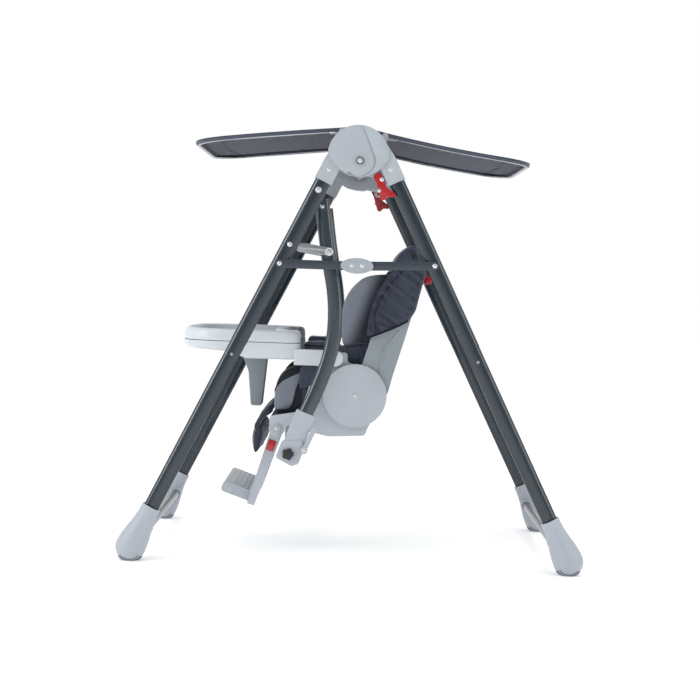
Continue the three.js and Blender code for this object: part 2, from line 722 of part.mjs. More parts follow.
// A hood over the top of the backrest: rear, top and side panels, open at the front and below.
function headCoverGeometry() {
  const inner = backHalf + 1.5;
  const outer = inner + cover.side;
  const side = rounded([
    [125, 186], [140, 211], [154, 272], [164, 305], [133, 376], [109, 361], [91, 340],
    [83, 312], [65, 293], [44, 254], [30, 217], [21, 151], [23, 139], [51, 152], [88, 167],
  ], 8);
  const inside = outline([
    [88, 308], [96, 335], [112, 355], [130, 368], [158, 303], [150, 272], [136.5, 211],
    [124, 150], [-60, 60], [-60, 308],
  ]);
  return cut(plate(side, -outer, outer, 2), plate(inside, -inner, inner),
    plate(outline([[140, 268], [190, 268], [190, 306], [140, 306]]), -cover.slotHalf, cover.slotHalf));
}

// A squeeze grip on a stem that comes out through the cover.
function reclineHandleGeometry() {
  const grip = plate(rounded([[167, 276], [184, 278], [186, 292], [180, 299], [168, 297]], 4), -34, 34, 2);
  const stem = plate(outline([[150.5, 281], [170, 281], [170, 291], [150.5, 291]]), -8, 8);
  return join(grip, stem);
}

seatPiece('backrest_shell', backrestShellGeometry(), shellPlastic);
seatPiece('backrest_pad', backrestPadGeometry(), greyFabric);
seatPiece('head_cover', headCoverGeometry(), darkFabric);
seatPiece('recline_handle', reclineHandleGeometry(), redPlastic);

// ---------------------------------------------------------------- tray

// The tray's plan: bowed front, rounded corners and a curved rear edge for the child.
function trayPlan(inset) {
  const half = tray.halfWidth - inset;
  const front = tray.front + inset;
  const rear = tray.rear - inset;
  const shape = new THREE.Shape();
  shape.moveTo(-half + 28, rear);
  shape.quadraticCurveTo(-half, rear, -half, rear - 40);
  shape.lineTo(-half, front + 110);
  shape.quadraticCurveTo(-half, front + 12, -half + 95, front + 6);
  shape.quadraticCurveTo(0, front - 8, half - 95, front + 6);
  shape.quadraticCurveTo(half, front + 12, half, front + 110);
  shape.lineTo(half, rear - 40);
  shape.quadraticCurveTo(half, rear, half - 28, rear);
  shape.lineTo(half - 62, rear);
  shape.quadraticCurveTo(half - 85, rear - 52, 0, rear - 54);
  shape.quadraticCurveTo(-half + 85, rear - 52, -half + 62, rear);
  return shape;
}

function trayBodyGeometry() {
  const { bottom, part, halfWidth, wall: skin } = tray;
  const under = plate(outline([
    [-446, part + 9], [-444, part - 8], [-405, 103], [-300, 98], [-276, bottom],
    [-100, bottom], [-100, part + 9],
  ]), -2 * halfWidth, 2 * halfWidth);
  const hollow = plate(outline([
    [-500, part + 40], [-440, part - 5], [-403, 103 + skin], [-299, 98 + skin],
    [-274, bottom + skin], [-100, bottom + skin], [-100, part + 40],
  ]), -2 * halfWidth, 2 * halfWidth);
  const shell = cut(
    common(slab(trayPlan(0), bottom, part), under),
    common(slab(trayPlan(skin), bottom, part + 20), hollow));
  const inner = seatHalf + 3 * gap;
  const armShape = new THREE.Shape();
  armShape.moveTo(-150, trayArm.z - trayArm.high / 2);
  armShape.lineTo(trayArm.rear, trayArm.z - trayArm.high / 2);
  armShape.absarc(trayArm.rear, trayArm.z, trayArm.high / 2, -Math.PI / 2, Math.PI / 2);
  armShape.lineTo(-150, trayArm.z + trayArm.high / 2);
  return join(shell, ...bothWalls(armShape, inner, inner + trayArm.thick, 8));
}

function trayTopGeometry() {
  const { part, rim } = tray;
  const floor = part + gap + 12;
  const body = slab(trayPlan(1), part + gap, rim);
  const recess = slab(trayPlan(17), floor, rim + 10);
  const under = slab(trayPlan(5), part - 5, floor - 3);
  return cut(body, recess, under);
}

function trayPostGeometry() {
  const top = tray.bottom - gap;
  return plate(rounded([
    [-291, 97], [-226, top], [-229, 40], [-237, -47], [-266, -47], [-274, 40],
  ].map(([y, z]) => [y, Math.min(z, top)]), 5), -trayPost.halfWidth, trayPost.halfWidth, 2);
}

seatPiece('tray_body', trayBodyGeometry(), trayPlastic);
seatPiece('tray_top', trayTopGeometry(), trayPlastic);
seatPiece('tray_post', trayPostGeometry(), postPlastic);

// ---------------------------------------------------------------- footrest

// A point down the footrest arm, from the recline axis.
function onArm(along, out = 0) {
  const lean = rad(footrest.lean);
  return {
    y: footrestAxis.y - along * Math.sin(lean) - out * Math.cos(lean),
    z: footrestAxis.z - along * Math.cos(lean) + out * Math.sin(lean),
  };
}

const armPolygon = (corners) => outline(corners.map(([along, out]) => {
  const point = onArm(along, out);
  return [point.y, point.z];
}));

const buttonAlong = 47;

function buttonOutline(grow) {
  const half = { long: button.long / 2 + grow, wide: button.wide / 2 + grow };
  return armPolygon([
    [buttonAlong - half.long, -half.wide], [buttonAlong + half.long, -half.wide],
    [buttonAlong + half.long, half.wide], [buttonAlong - half.long, half.wide],
  ]);
}

function footrestArmGeometry() {
  const half = footrest.armThick / 2;
  const toWall = seatHalf - footrest.plane;
  const blade = plate(armPolygon([
    [0, -13.5], [footrest.length, -9], [footrest.length, 10], [0, 13.5],
  ]), -half, half);
  const { y, z } = footrestAxis;
  return cut(
    join(blade, pin(y, z, footrest.pivot, -half, half, 10),
      pin(y, z, 11, half - 1, toWall - wall - gap),
      pin(y, z, footrest.pin, 0, toWall + 1),
      pin(y, z, 11, toWall + gap, toWall + gap + 4)),
    plate(buttonOutline(runningGap), -half + button.travel + 1, 2 * half));
}

function footButtonGeometry() {
  const half = footrest.armThick / 2;
  return plate(buttonOutline(0), -half + 2 * button.travel + 1.5, half + button.proud);
}

function footPlateGeometry() {
  const half = footrest.plane - footrest.armThick / 2 - gap;
  const back = onArm(footrest.length - 30, 11);
  const tilt = rad(footPlate.tilt);
  const local = (deep, up) => [
    back.y - deep * Math.cos(tilt) - up * Math.sin(tilt),
    back.z + deep * Math.sin(tilt) - up * Math.cos(tilt),
  ];
  const { deep, thick } = footPlate;
  const shape = rounded([local(0, 0), local(0, thick), local(deep, thick), local(deep, 0)], 10);
  const body = plate(shape, -half, half, 3);
  const root = plate(armPolygon([
    [footrest.length - 44, -8], [footrest.length - 4, -8],
    [footrest.length - 4, 16], [footrest.length - 44, 16],
  ]), -half, half);
  return join(body, root);
}

function legrestPadGeometry() {
  const half = footrest.plane - footrest.armThick / 2 - padSide;
  return plate(rounded([
    [-244, -81], [-251, -115], [-249, -145], [-246, -164], [-234, -152], [-222, -110], [-225, -81],
  ], 8), -half, half, 2);
}

seatPair('footrest_arm', footrestArmGeometry(), sleevePlastic, footrest.plane);
seatPair('footrest_button', footButtonGeometry(), redPlastic, footrest.plane);
seatPiece('foot_plate', footPlateGeometry(), sleevePlastic);
seatPiece('legrest_pad', legrestPadGeometry(), darkFabric);

// ---------------------------------------------------------------- canopy, from the fold axis

const sheetHalf = legPlane - hub.innerFace - 1.5;

function canopySheetGeometry(part) {
  const sign = part === 'front' ? -1 : 1;
  const length = canopy.length[part];
  const steps = 8;
  const top = [];
  const under = [];
  for (let i = 0; i <= steps; i += 1) {
    const distance = 0.4 + ((length - 0.4) * i) / steps;
    top.push([sign * distance, sheetTop(part, distance)]);
    under.unshift([sign * distance, sheetTop(part, distance) - canopy.cloth]);
  }
  const across = plate(outline([...top, ...under]), -sheetHalf - 5, sheetHalf + 5);
  const r = canopy.corner;
  const plan = new THREE.Shape();
  plan.moveTo(-sheetHalf, -sign);
  plan.lineTo(sheetHalf, -sign);
  plan.lineTo(sheetHalf, sign * (length - r));
  plan.quadraticCurveTo(sheetHalf, sign * length, sheetHalf - r, sign * length);
  plan.lineTo(-sheetHalf + r, sign * length);
  plan.quadraticCurveTo(-sheetHalf, sign * length, -sheetHalf, sign * (length - r));
  return common(across, slab(plan, -100, canopy.ridge + 100, 6));
}

// A U of wire under the sheet's edge, with a lug at each end on the hub's hinge pin.
function canopyWireGeometry({ part, y, z }) {
  const sign = part === 'front' ? -1 : 1;
  const inset = 7;
  const half = sheetHalf - inset;
  const reach = canopy.length[part] - inset;
  const r = canopy.corner - inset;
  const plan = [];
  const start = canopy.hinge[part] + 22;
  for (let i = 0; i <= 4; i += 1) plan.push([half, start + ((reach - r - start) * i) / 4]);
  for (let i = 1; i <= 5; i += 1) {
    const angle = rad(18 * i);
    plan.push([half - r + r * Math.cos(angle), reach - r + r * Math.sin(angle)]);
  }
  const far = plan.slice(0, -1).reverse().map(([x, distance]) => [-x, distance]);
  const route = [...plan, [0, reach], [-(half - r), reach], ...far];
  const points = route.map(([x, distance]) =>
    new THREE.Vector3(x, sign * distance, sheetTop(part, distance) - wireDepth));
  const path = new THREE.CatmullRomCurve3(points, false, 'centripetal');
  const wire = new THREE.ExtrudeGeometry(circle(0, 0, canopy.wire), {
    extrudePath: path, steps: 36, bevelEnabled: false, curveSegments: 3,
  });
  const end = sheetTop(part, start + 6) - wireDepth;
  const centre = half;
  const lugShape = rounded([
    [y - sign * 8, z - 7], [sign * (start + 8), end - 6],
    [sign * (start + 8), end + 3.4], [y - sign * 8, z + 5],
  ], 4);
  const lug = (from, to) => cut(
    plate(lugShape, from, to, 3), pin(y, z, canopy.wire + runningGap, from - 9, to + 9));
  return join(wire, lug(centre - 4, centre + 4), lug(-centre - 4, -centre + 4));
}

for (const place of canopyEnds()) {
  add(`canopy_${place.part}_wire`, canopyWireGeometry(place), hubPlastic, hubPlace);
  add(`canopy_${place.part}_sheet`, canopySheetGeometry(place.part), canopyFabric, hubPlace);
}

export default swing;
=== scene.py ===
import json
import math
import bmesh
import bpy
import numpy as np
from mathutils import Matrix, Vector, noise
from mathutils.bvhtree import BVHTree


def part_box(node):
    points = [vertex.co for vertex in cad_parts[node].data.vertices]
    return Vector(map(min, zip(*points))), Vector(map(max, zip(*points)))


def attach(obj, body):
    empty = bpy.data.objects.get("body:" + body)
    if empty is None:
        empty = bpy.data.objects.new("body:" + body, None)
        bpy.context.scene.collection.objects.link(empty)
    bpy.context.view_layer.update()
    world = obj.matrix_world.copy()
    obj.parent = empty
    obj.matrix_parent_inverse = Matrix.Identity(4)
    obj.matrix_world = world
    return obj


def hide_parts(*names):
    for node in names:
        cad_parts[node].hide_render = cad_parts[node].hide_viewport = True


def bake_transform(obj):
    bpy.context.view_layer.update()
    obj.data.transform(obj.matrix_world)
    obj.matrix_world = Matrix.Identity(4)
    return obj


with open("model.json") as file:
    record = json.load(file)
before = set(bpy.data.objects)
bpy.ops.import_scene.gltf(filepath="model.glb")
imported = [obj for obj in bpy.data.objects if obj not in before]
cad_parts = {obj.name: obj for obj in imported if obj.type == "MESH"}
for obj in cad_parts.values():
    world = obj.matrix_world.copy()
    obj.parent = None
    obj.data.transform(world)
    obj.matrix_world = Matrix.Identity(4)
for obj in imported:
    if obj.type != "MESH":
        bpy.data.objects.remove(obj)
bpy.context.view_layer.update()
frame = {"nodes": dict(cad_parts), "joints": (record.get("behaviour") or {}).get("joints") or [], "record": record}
nodes = frame["nodes"]
record = frame["record"]
scene = bpy.context.scene
joint_at = {j["name"]: Vector(j["pos_m"]) for j in frame["joints"] if "pos_m" in j}
SEAT = joint_at["recline"]
FOLD = joint_at["frame_fold"]
SIDES = (("left", 1), ("right", -1))


def seat(y, z, x=0.0):
    """Millimetres from the recline axis to metres in the frame."""
    return Vector((x / 1000, SEAT.y + y / 1000, SEAT.z + z / 1000))


# ------------------------------------------------------------------ materials

def linear(rgb):
    """Screen colour, 0 to 255, to scene colour."""
    return [(v / 255 / 12.92) if v / 255 <= 0.04045 else ((v / 255 + 0.055) / 1.055) ** 2.4 for v in rgb]


class Shader:
    def __init__(self, name):
        self.mat = bpy.data.materials.new(name)
        self.mat.use_nodes = True
        self.tree = self.mat.node_tree
        self.bsdf = self.tree.nodes["Principled BSDF"]
        self.coords = self.node("ShaderNodeTexCoord").outputs["Object"]

    def node(self, kind, **values):
        made = self.tree.nodes.new(kind)
        for key, value in values.items():
            if key in made.bl_rna.properties:
                setattr(made, key, value)
            else:
                made.inputs[key.replace("_", " ")].default_value = value
        return made

    def link(self, a, b):
        self.tree.links.new(a, b)

    def noise(self, scale, detail=3.0, rough=0.55, stretch=None):
        made = self.node("ShaderNodeTexNoise", Scale=scale, Detail=detail, Roughness=rough)
        source = self.coords
        if stretch:
            mapping = self.node("ShaderNodeMapping")
            mapping.inputs["Scale"].default_value = stretch
            self.link(self.coords, mapping.inputs["Vector"])
            source = mapping.outputs["Vector"]
        self.link(source, made.inputs["Vector"])
        return made.outputs["Fac"]

    def math(self, operation, a, b=None):
        made = self.node("ShaderNodeMath", operation=operation)
        for slot, value in enumerate((a, b)):
            if value is None:
                continue
            if isinstance(value, (int, float)):
                made.inputs[slot].default_value = value
            else:
                self.link(value, made.inputs[slot])
        return made.outputs[0]

    def remap(self, value, low, high, to_low, to_high, smooth=False):
        made = self.node("ShaderNodeMapRange")
        if smooth:
            made.interpolation_type = "SMOOTHSTEP"
        for slot, number in zip(("From Min", "From Max", "To Min", "To Max"), (low, high, to_low, to_high)):
            made.inputs[slot].default_value = number
        self.link(value, made.inputs["Value"])
        return made.outputs["Result"]

    def mix(self, share, a, b):
        made = self.node("ShaderNodeMix", data_type="RGBA")
        self.link(share, made.inputs["Factor"])
        for slot, value in ((6, a), (7, b)):
            if hasattr(value, "links"):
                self.link(value, made.inputs[slot])
            else:
                made.inputs[slot].default_value = (*value, 1)
        return made.outputs[2]

    def colour(self, value):
        self.link(value, self.bsdf.inputs["Base Color"])

    def rough(self, value):
        self.link(value, self.bsdf.inputs["Roughness"])

    def bump(self, height, strength, distance, below=None):
        made = self.node("ShaderNodeBump", Strength=strength, Distance=distance)
        self.link(height, made.inputs["Height"])
        if below is not None:
            self.link(below, made.inputs["Normal"])
        return made.outputs["Normal"]

    def normal(self, value):
        self.link(value, self.bsdf.inputs["Normal"])

    def set(self, **values):
        for key, value in values.items():
            self.bsdf.inputs[key.replace("_", " ")].default_value = value


def shade(rgb, factor):
    """A colour made lighter or darker."""
    return [min(1.0, v * factor) for v in linear(rgb)]


def plastic(name, rgb, roughness=0.42, grain=0.35, coat=0.0):
    """Moulded plastic: fine spark-eroded grain, faint flow mottling, edges rubbed a little lighter."""
    s = Shader(name)
    mottled = s.mix(s.noise(7.0, 4.0), shade(rgb, 0.95), shade(rgb, 1.05))
    wear = s.node("ShaderNodeNewGeometry").outputs["Pointiness"]
    edge = s.remap(wear, 0.52, 0.60, 0.0, 0.35, smooth=True)
    s.colour(s.mix(edge, mottled, shade(rgb, 1.18)))
    s.rough(s.remap(s.noise(55.0, 4.0), 0.3, 0.7, roughness - 0.05, roughness + 0.07))
    fine = s.bump(s.noise(2600.0, 2.0, 0.6), grain, 0.00012)
    s.normal(s.bump(s.noise(30.0, 2.0), 0.08, 0.0008, fine))
    s.set(Specular_IOR_Level=0.5, Coat_Weight=coat, Coat_Roughness=0.15)
    return s.mat


def painted(name, rgb, roughness=0.26, metallic=0.35, coat=0.35):
    """Stoved paint over steel tube: metal flake, orange peel, small scuffs."""
    s = Shader(name)
    flake = s.noise(3800.0, 1.0)
    base = s.mix(flake, shade(rgb, 0.96), shade(rgb, 1.05))
    scuff = s.remap(s.noise(26.0, 6.0, 0.6, (1.0, 1.0, 0.5)), 0.72, 0.8, 0.0, 0.25, smooth=True)
    s.colour(s.mix(scuff, base, shade(rgb, 1.25)))
    s.rough(s.remap(s.noise(40.0, 5.0), 0.3, 0.75, roughness - 0.02, roughness + 0.05))
    s.normal(s.bump(s.noise(160.0, 2.0), 0.02, 0.0002))
    s.set(Metallic=metallic, Coat_Weight=coat, Coat_Roughness=0.12)
    return s.mat


def steel(name, rgb, roughness=0.3):
    """Zinc-plated steel with drawn marks."""
    s = Shader(name)
    marks = s.noise(260.0, 5.0, 0.6, (1.0, 0.12, 1.0))
    s.colour(s.mix(marks, shade(rgb, 0.82), shade(rgb, 1.15)))
    s.rough(s.remap(marks, 0.3, 0.7, roughness - 0.08, roughness + 0.14))
    s.normal(s.bump(marks, 0.12, 0.0002))
    s.set(Metallic=0.9)
    return s.mat


def fabric(name, rgb, weave=0.0011, sheen=0.35, rumple=0.35, painted_shade_band=None, roughness=0.82):
    """Woven polyester: yarns over and under, slubs, soft rumples, a sheen at grazing angles, painted shade in the
    hollows, lighter ridges, and an optional band of painted shade.
    """
    s = Shader(name)
    split = s.node("ShaderNodeSeparateXYZ")
    s.link(s.coords, split.inputs[0])
    turn = 2 * math.pi / weave
    waves = [s.math("SINE", s.math("MULTIPLY", split.outputs[i], turn)) for i in range(3)]
    yarn = s.math("ADD", s.math("ADD", waves[0], waves[1]), waves[2])
    slub = s.noise(520.0, 3.0, 0.6)
    cloth = s.mix(s.noise(11.0, 5.0, 0.6), shade(rgb, 0.86), shade(rgb, 1.13))
    threads = s.mix(s.remap(yarn, -2.0, 2.0, 0.0, 1.0), shade(rgb, 0.8), shade(rgb, 1.16))
    both = s.mix(s.remap(slub, 0.25, 0.75, 0.25, 0.75), cloth, threads)
    # painted shade: the colour darkens towards a line, standing in for the shade where the surface turns in under
    # a neighbouring part
    if painted_shade_band:
        (ny, nz), start, end, dark = painted_shade_band  # direction in YZ, where the painted shade begins and ends, the shade's colour
        across = s.math("ADD", s.math("MULTIPLY", split.outputs[1], ny),
                        s.math("MULTIPLY", split.outputs[2], nz))
        both = s.mix(s.remap(across, start, end, 0.0, 1.0, smooth=True), both, linear(dark))
    # painted shade: darker in the creases and hollows; lighter on the sharp ridges
    hollow = s.node("ShaderNodeNewGeometry").outputs["Pointiness"]
    crease_shaded = s.mix(s.remap(hollow, 0.44, 0.5, 0.0, 1.0, smooth=True), shade(rgb, 0.45), both)
    s.colour(s.mix(s.remap(hollow, 0.51, 0.58, 0.0, 0.4, smooth=True), crease_shaded, shade(rgb, 1.5)))
    fine = s.bump(s.math("ADD", yarn, s.math("MULTIPLY", slub, 2.0)), 0.35, 0.00022)
    folds = s.bump(s.noise(34.0, 3.0, 0.5), rumple, 0.0022, fine)
    s.normal(s.bump(s.noise(9.0, 2.0), rumple * 0.6, 0.004, folds))
    s.set(Roughness=roughness, Sheen_Weight=sheen, Sheen_Roughness=0.4, Specular_IOR_Level=0.25)
    return s.mat


def rubber(name, rgb):
    s = Shader(name)
    s.colour(s.mix(s.noise(30.0, 4.0), shade(rgb, 0.8), shade(rgb, 1.3)))
    s.normal(s.bump(s.noise(900.0, 3.0), 0.3, 0.0002))
    s.set(Roughness=0.7, Specular_IOR_Level=0.3)
    return s.mat


M = {
    "tube": painted("tube paint", (29, 42, 51), 0.25, 0.2, 0.5),
    "hanger": painted("hanger paint", (44, 57, 65), 0.22, 0.25, 0.6),
    "bar": painted("bar paint", (96, 100, 106), 0.32, 0.5, 0.2),
    "brace": painted("brace paint", (56, 63, 72), 0.4, 0.3, 0.15),
    "zinc": steel("zinc plate", (168, 172, 178)),
    "screw": steel("bright screws", (205, 208, 212), 0.22),
    "hub": plastic("hub plastic", (161, 168, 175), 0.4),
    "foot": plastic("foot plastic", (164, 170, 179), 0.42),
    "sleeve": plastic("sleeve plastic", (164, 170, 178), 0.42),
    "oval": plastic("cover plastic", (152, 160, 166), 0.4),
    "shell": plastic("seat shell plastic", (170, 178, 186), 0.44),
    "back": plastic("back shell plastic", (138, 148, 153), 0.42),
    "tray": plastic("tray plastic", (196, 203, 208), 0.34, 0.2, 0.15),
    "post": plastic("tray post plastic", (140, 150, 156), 0.45),
    "plate": plastic("foot plate plastic", (164, 170, 179), 0.4),
    "red": plastic("red plastic", (164, 8, 12), 0.28, 0.12, 0.35),
    "black": plastic("black plastic", (26, 29, 33), 0.42),
    "rubber": rubber("foot rubber", (92, 96, 102)),
    "grey": fabric("grey seat fabric", (114, 120, 131), 0.0012),
    # the wing's colour darkens to painted shade along the head cover's front edge
    "wing": fabric("grey wing fabric", (124, 130, 142), 0.0012,
                   painted_shade_band=((0.933, -0.359), -0.2300, -0.1830, (40, 44, 54))),
    "white": plastic("white plastic", (226, 229, 232), 0.3),
    "dark": fabric("dark cover fabric", (54, 60, 76), 0.0010, 0.45, 1.0, roughness=0.5),
    "legrest": fabric("leg rest fabric", (52, 58, 70), 0.0010, 0.45, 0.6),
    "lining": fabric("black lining fabric", (28, 32, 39), 0.0010, 0.25, 0.5),
    "piping": fabric("black piping", (20, 23, 28), 0.0009, 0.2, 0.1),
    "canopy": fabric("canopy fabric", (48, 52, 69), 0.0010, 0.12, 0.25),
    "hem": fabric("canopy binding", (70, 75, 88), 0.0009, 0.3, 0.15),
    "thread": fabric("seam thread", (38, 41, 52), 0.0009, 0.2, 0.1),
    "label": fabric("small tags", (96, 99, 108), 0.0008, 0.2, 0.1),
}


# ------------------------------------------------------------------ making pieces

def new_object(name, mesh):
    obj = bpy.data.objects.new(name, mesh)
    scene.collection.objects.link(obj)
    return obj


def edit(mesh, *steps):
    """Runs bmesh steps on a mesh."""
    bm = bmesh.new()
    bm.from_mesh(mesh)
    for step in steps:
        step(bm)
    bm.to_mesh(mesh)
    bm.free()


def welded(bm, reach=2e-5):
    bmesh.ops.remove_doubles(bm, verts=bm.verts, dist=reach)


def outward(bm):
    bmesh.ops.recalc_face_normals(bm, faces=bm.faces)


def filled(bm):
    bmesh.ops.triangle_fill(bm, use_beauty=True, edges=[e for e in bm.edges if e.is_boundary])


def flattened(bm):
    bmesh.ops.dissolve_limit(bm, angle_limit=math.radians(1.2), verts=bm.verts, edges=bm.edges)


def mesh_from(name, points, faces):
    mesh = bpy.data.meshes.new(name)
    mesh.from_pydata([tuple(p) for p in points], [], faces)
    mesh.validate()
    edit(mesh, outward)
    return mesh


def smooth(mesh, degrees=35):
    mesh.shade_smooth()
    if degrees:
        mesh.set_sharp_from_angle(angle=math.radians(degrees))


def baked(obj):
    """The object's mesh with its modifiers applied."""
    graph = bpy.context.evaluated_depsgraph_get()
    graph.update()
    mesh = bpy.data.meshes.new_from_object(obj.evaluated_get(graph))
    obj.modifiers.clear()
    old = obj.data
    obj.data = mesh
    mesh.name = obj.name
    if old.users == 0:
        bpy.data.meshes.remove(old)
    return obj


def finish(obj, body, slot, *materials, replaces=()):
    obj.data.materials.clear()
    for name in materials:
        obj.data.materials.append(M[name])
    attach(obj, body)
    if replaces:
        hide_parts(*replaces)
    return obj


body_of = {n: b for b, members in record["behaviour"]["bodies"].items() for n in members}
slot_of = {s["node"]: s["material_slot"] for s in record["subparts"]}


def refine(node, material, bevel=1.0, segments=2, angle=30):
    """The node's own shape with rounded edges and smooth round faces."""
    obj = new_object(node + "_finished", nodes[node].data.copy())
    edit(obj.data, welded, flattened)
    if bevel:
        mod = obj.modifiers.new("edges", "BEVEL")
        mod.width = bevel / 1000
        mod.segments = segments
        mod.limit_method = "ANGLE"
        mod.angle_limit = math.radians(angle)
        mod.miter_outer = "MITER_ARC"
        mod.use_clamp_overlap = True
        baked(obj)
    smooth(obj.data, 38)
    return finish(obj, body_of[node], slot_of[node], material, replaces=(node,))


def turn(count):
    """Angles evenly round a circle."""
    return [2 * math.pi * k / count for k in range(count)]


def rings_to_mesh(name, rings, cap_end=True, closed_path=False):
    """A skin over rings with the same number of points."""
    count = len(rings[0])
    points = [p for ring in rings for p in ring]
    faces = []
    for i in range(len(rings) if closed_path else len(rings) - 1):
        a, b = i * count, ((i + 1) % len(rings)) * count
        faces += [(a + k, a + (k + 1) % count, b + (k + 1) % count, b + k) for k in range(count)]
    if not closed_path:
        faces.append(tuple(range(count)))
        if cap_end:
            faces.append(tuple((len(rings) - 1) * count + k for k in reversed(range(count))))
    return mesh_from(name, points, faces)


def lofted(name, rings, degrees, closed_path=False):
    mesh = rings_to_mesh(name, rings, closed_path=closed_path)
    smooth(mesh, degrees)
    return new_object(name, mesh)


def tube(name, path, radius, sides=8, closed=False, up=None):
    """A round tube along a path."""
    path = [Vector(p) for p in path]
    n = len(path)
    tangents = []
    for i in range(n):
        a = path[(i - 1) % n] if closed or i else path[0]
        b = path[(i + 1) % n] if closed or i < n - 1 else path[-1]
        tangents.append((b - a).normalized())
    normal = up or (Vector((0, 0, 1)) if abs(tangents[0].z) < 0.9 else Vector((0, 1, 0)))
    rings = []
    for p, t in zip(path, tangents):
        normal = (normal - t * normal.dot(t)).normalized()
        side = t.cross(normal)
        rings.append([p + radius * (math.cos(a) * side + math.sin(a) * normal) for a in turn(sides)])
    return lofted(name, rings, 60, closed)


def joined(name, objs):
    """Several meshes as one piece."""
    bm = bmesh.new()
    for obj in objs:
        bm.from_mesh(obj.data)
    mesh = bpy.data.meshes.new(name)
    bm.to_mesh(mesh)
    bm.free()
    for obj in objs:
        bpy.data.objects.remove(obj)
    smooth(mesh, 45)
    return new_object(name, mesh)


def spline(points, count):
    """Evenly spaced points on a Catmull-Rom curve through the given ones."""
    pts = [Vector(p) for p in points]
    fine = []
    for i in range(len(pts) - 1):
        p0 = pts[i - 1] if i else pts[0] * 2 - pts[1]
        p1, p2 = pts[i], pts[i + 1]
        p3 = pts[i + 2] if i + 2 < len(pts) else pts[-1] * 2 - pts[-2]
        for k in range(16):
            t = k / 16
            fine.append(0.5 * (2 * p1 + (p2 - p0) * t + (2 * p0 - 5 * p1 + 4 * p2 - p3) * t * t
                               + (3 * p1 - p0 - 3 * p2 + p3) * t ** 3))
    fine.append(pts[-1].copy())
    lengths = [0.0]
    for a, b in zip(fine, fine[1:]):
        lengths.append(lengths[-1] + (b - a).length)
    out, j = [], 0
    for i in range(count):
        want = lengths[-1] * i / (count - 1)
        while j < len(fine) - 2 and lengths[j + 1] < want:
            j += 1
        span = max(lengths[j + 1] - lengths[j], 1e-12)
        out.append(fine[j].lerp(fine[j + 1], (want - lengths[j]) / span))
    return out


def lathe(name, profile, base, axis, sides=24):
    """Turned about an axis: profile is (radius, height) in millimetres."""
    axis = Vector(axis).normalized()
    other = Vector((0, 0, 1)) if abs(axis.z) < 0.9 else Vector((0, 1, 0))
    u = axis.cross(other).normalized()
    v = axis.cross(u)
    rings = [[Vector(base) + axis * (h / 1000) + (r / 1000) * (math.cos(a) * u + math.sin(a) * v)
              for a in turn(sides)] for r, h in profile]
    return lofted(name, rings, 40)


# ------------------------------------------------------------------ frame tubes and feet

LEG_ANGLE = {"front": math.radians(26), "rear": math.radians(26.5)}
END = {"front": -1, "rear": 1}
LEG_PLANE = (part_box("front_leg_left")[0].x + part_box("front_leg_left")[1].x) / 2


def node_points(name):
    return np.array([v.co for v in nodes[name].data.vertices])


def leg_axis(node, direction):
    """The two ends of a tube's centre line."""
    pts = node_points(node)
    along = pts @ np.array(direction)
    ends = []
    for limit in (along.min(), along.max()):
        near = pts[np.abs(along - limit) < 0.0004]
        ends.append(Vector((near.min(0) + near.max(0)) / 2))
    return ends


def oval_tube(name, path, wide, thick):
    """A tube whose thin side lies along X."""
    rings = []
    path = [Vector(p) for p in path]
    for i, p in enumerate(path):
        t = (path[min(i + 1, len(path) - 1)] - path[max(i - 1, 0)]).normalized()
        x = Vector((1, 0, 0))
        v = t.cross(x).normalized()
        rings.append([p + x * (math.cos(a) * thick / 2) + v * (math.sin(a) * wide / 2) for a in turn(40)])
    return lofted(name, rings, 50)


def leg(end, side, sign):
    """The upper tube, the lower one that slides into it, the lip between them and the snap button."""
    node = f"{end}_leg_{side}"
    angle = LEG_ANGLE[end]
    down = Vector((0, END[end] * math.sin(angle), -math.cos(angle)))
    top, bottom = leg_axis(node, down)
    split = top + down * ((bottom - top).length * 0.475)
    upper = oval_tube(f"{node}_upper", [top, split], 0.038, 0.020)
    lower = oval_tube(f"{node}_lower", [split - down * 0.004, bottom], 0.0366, 0.0186)
    lip = oval_tube(f"{node}_lip", [split - down * 0.0016, split - down * 0.0008, split + down * 0.0008],
                    0.0384, 0.0204)
    finish(joined(f"{node}_tube", [upper, lower, lip]), body_of[node], "tube_paint", "tube", replaces=(node,))
    out = Vector((sign, 0, 0))
    button = lathe(f"{node}_snap_button", [(0, 0), (3.6, 0), (3.6, 1.2), (2.6, 2.3), (0, 2.6)],
                   split + down * 0.034 + out * 0.0088, out, 16)
    finish(button, body_of[node], "zinc", "zinc")


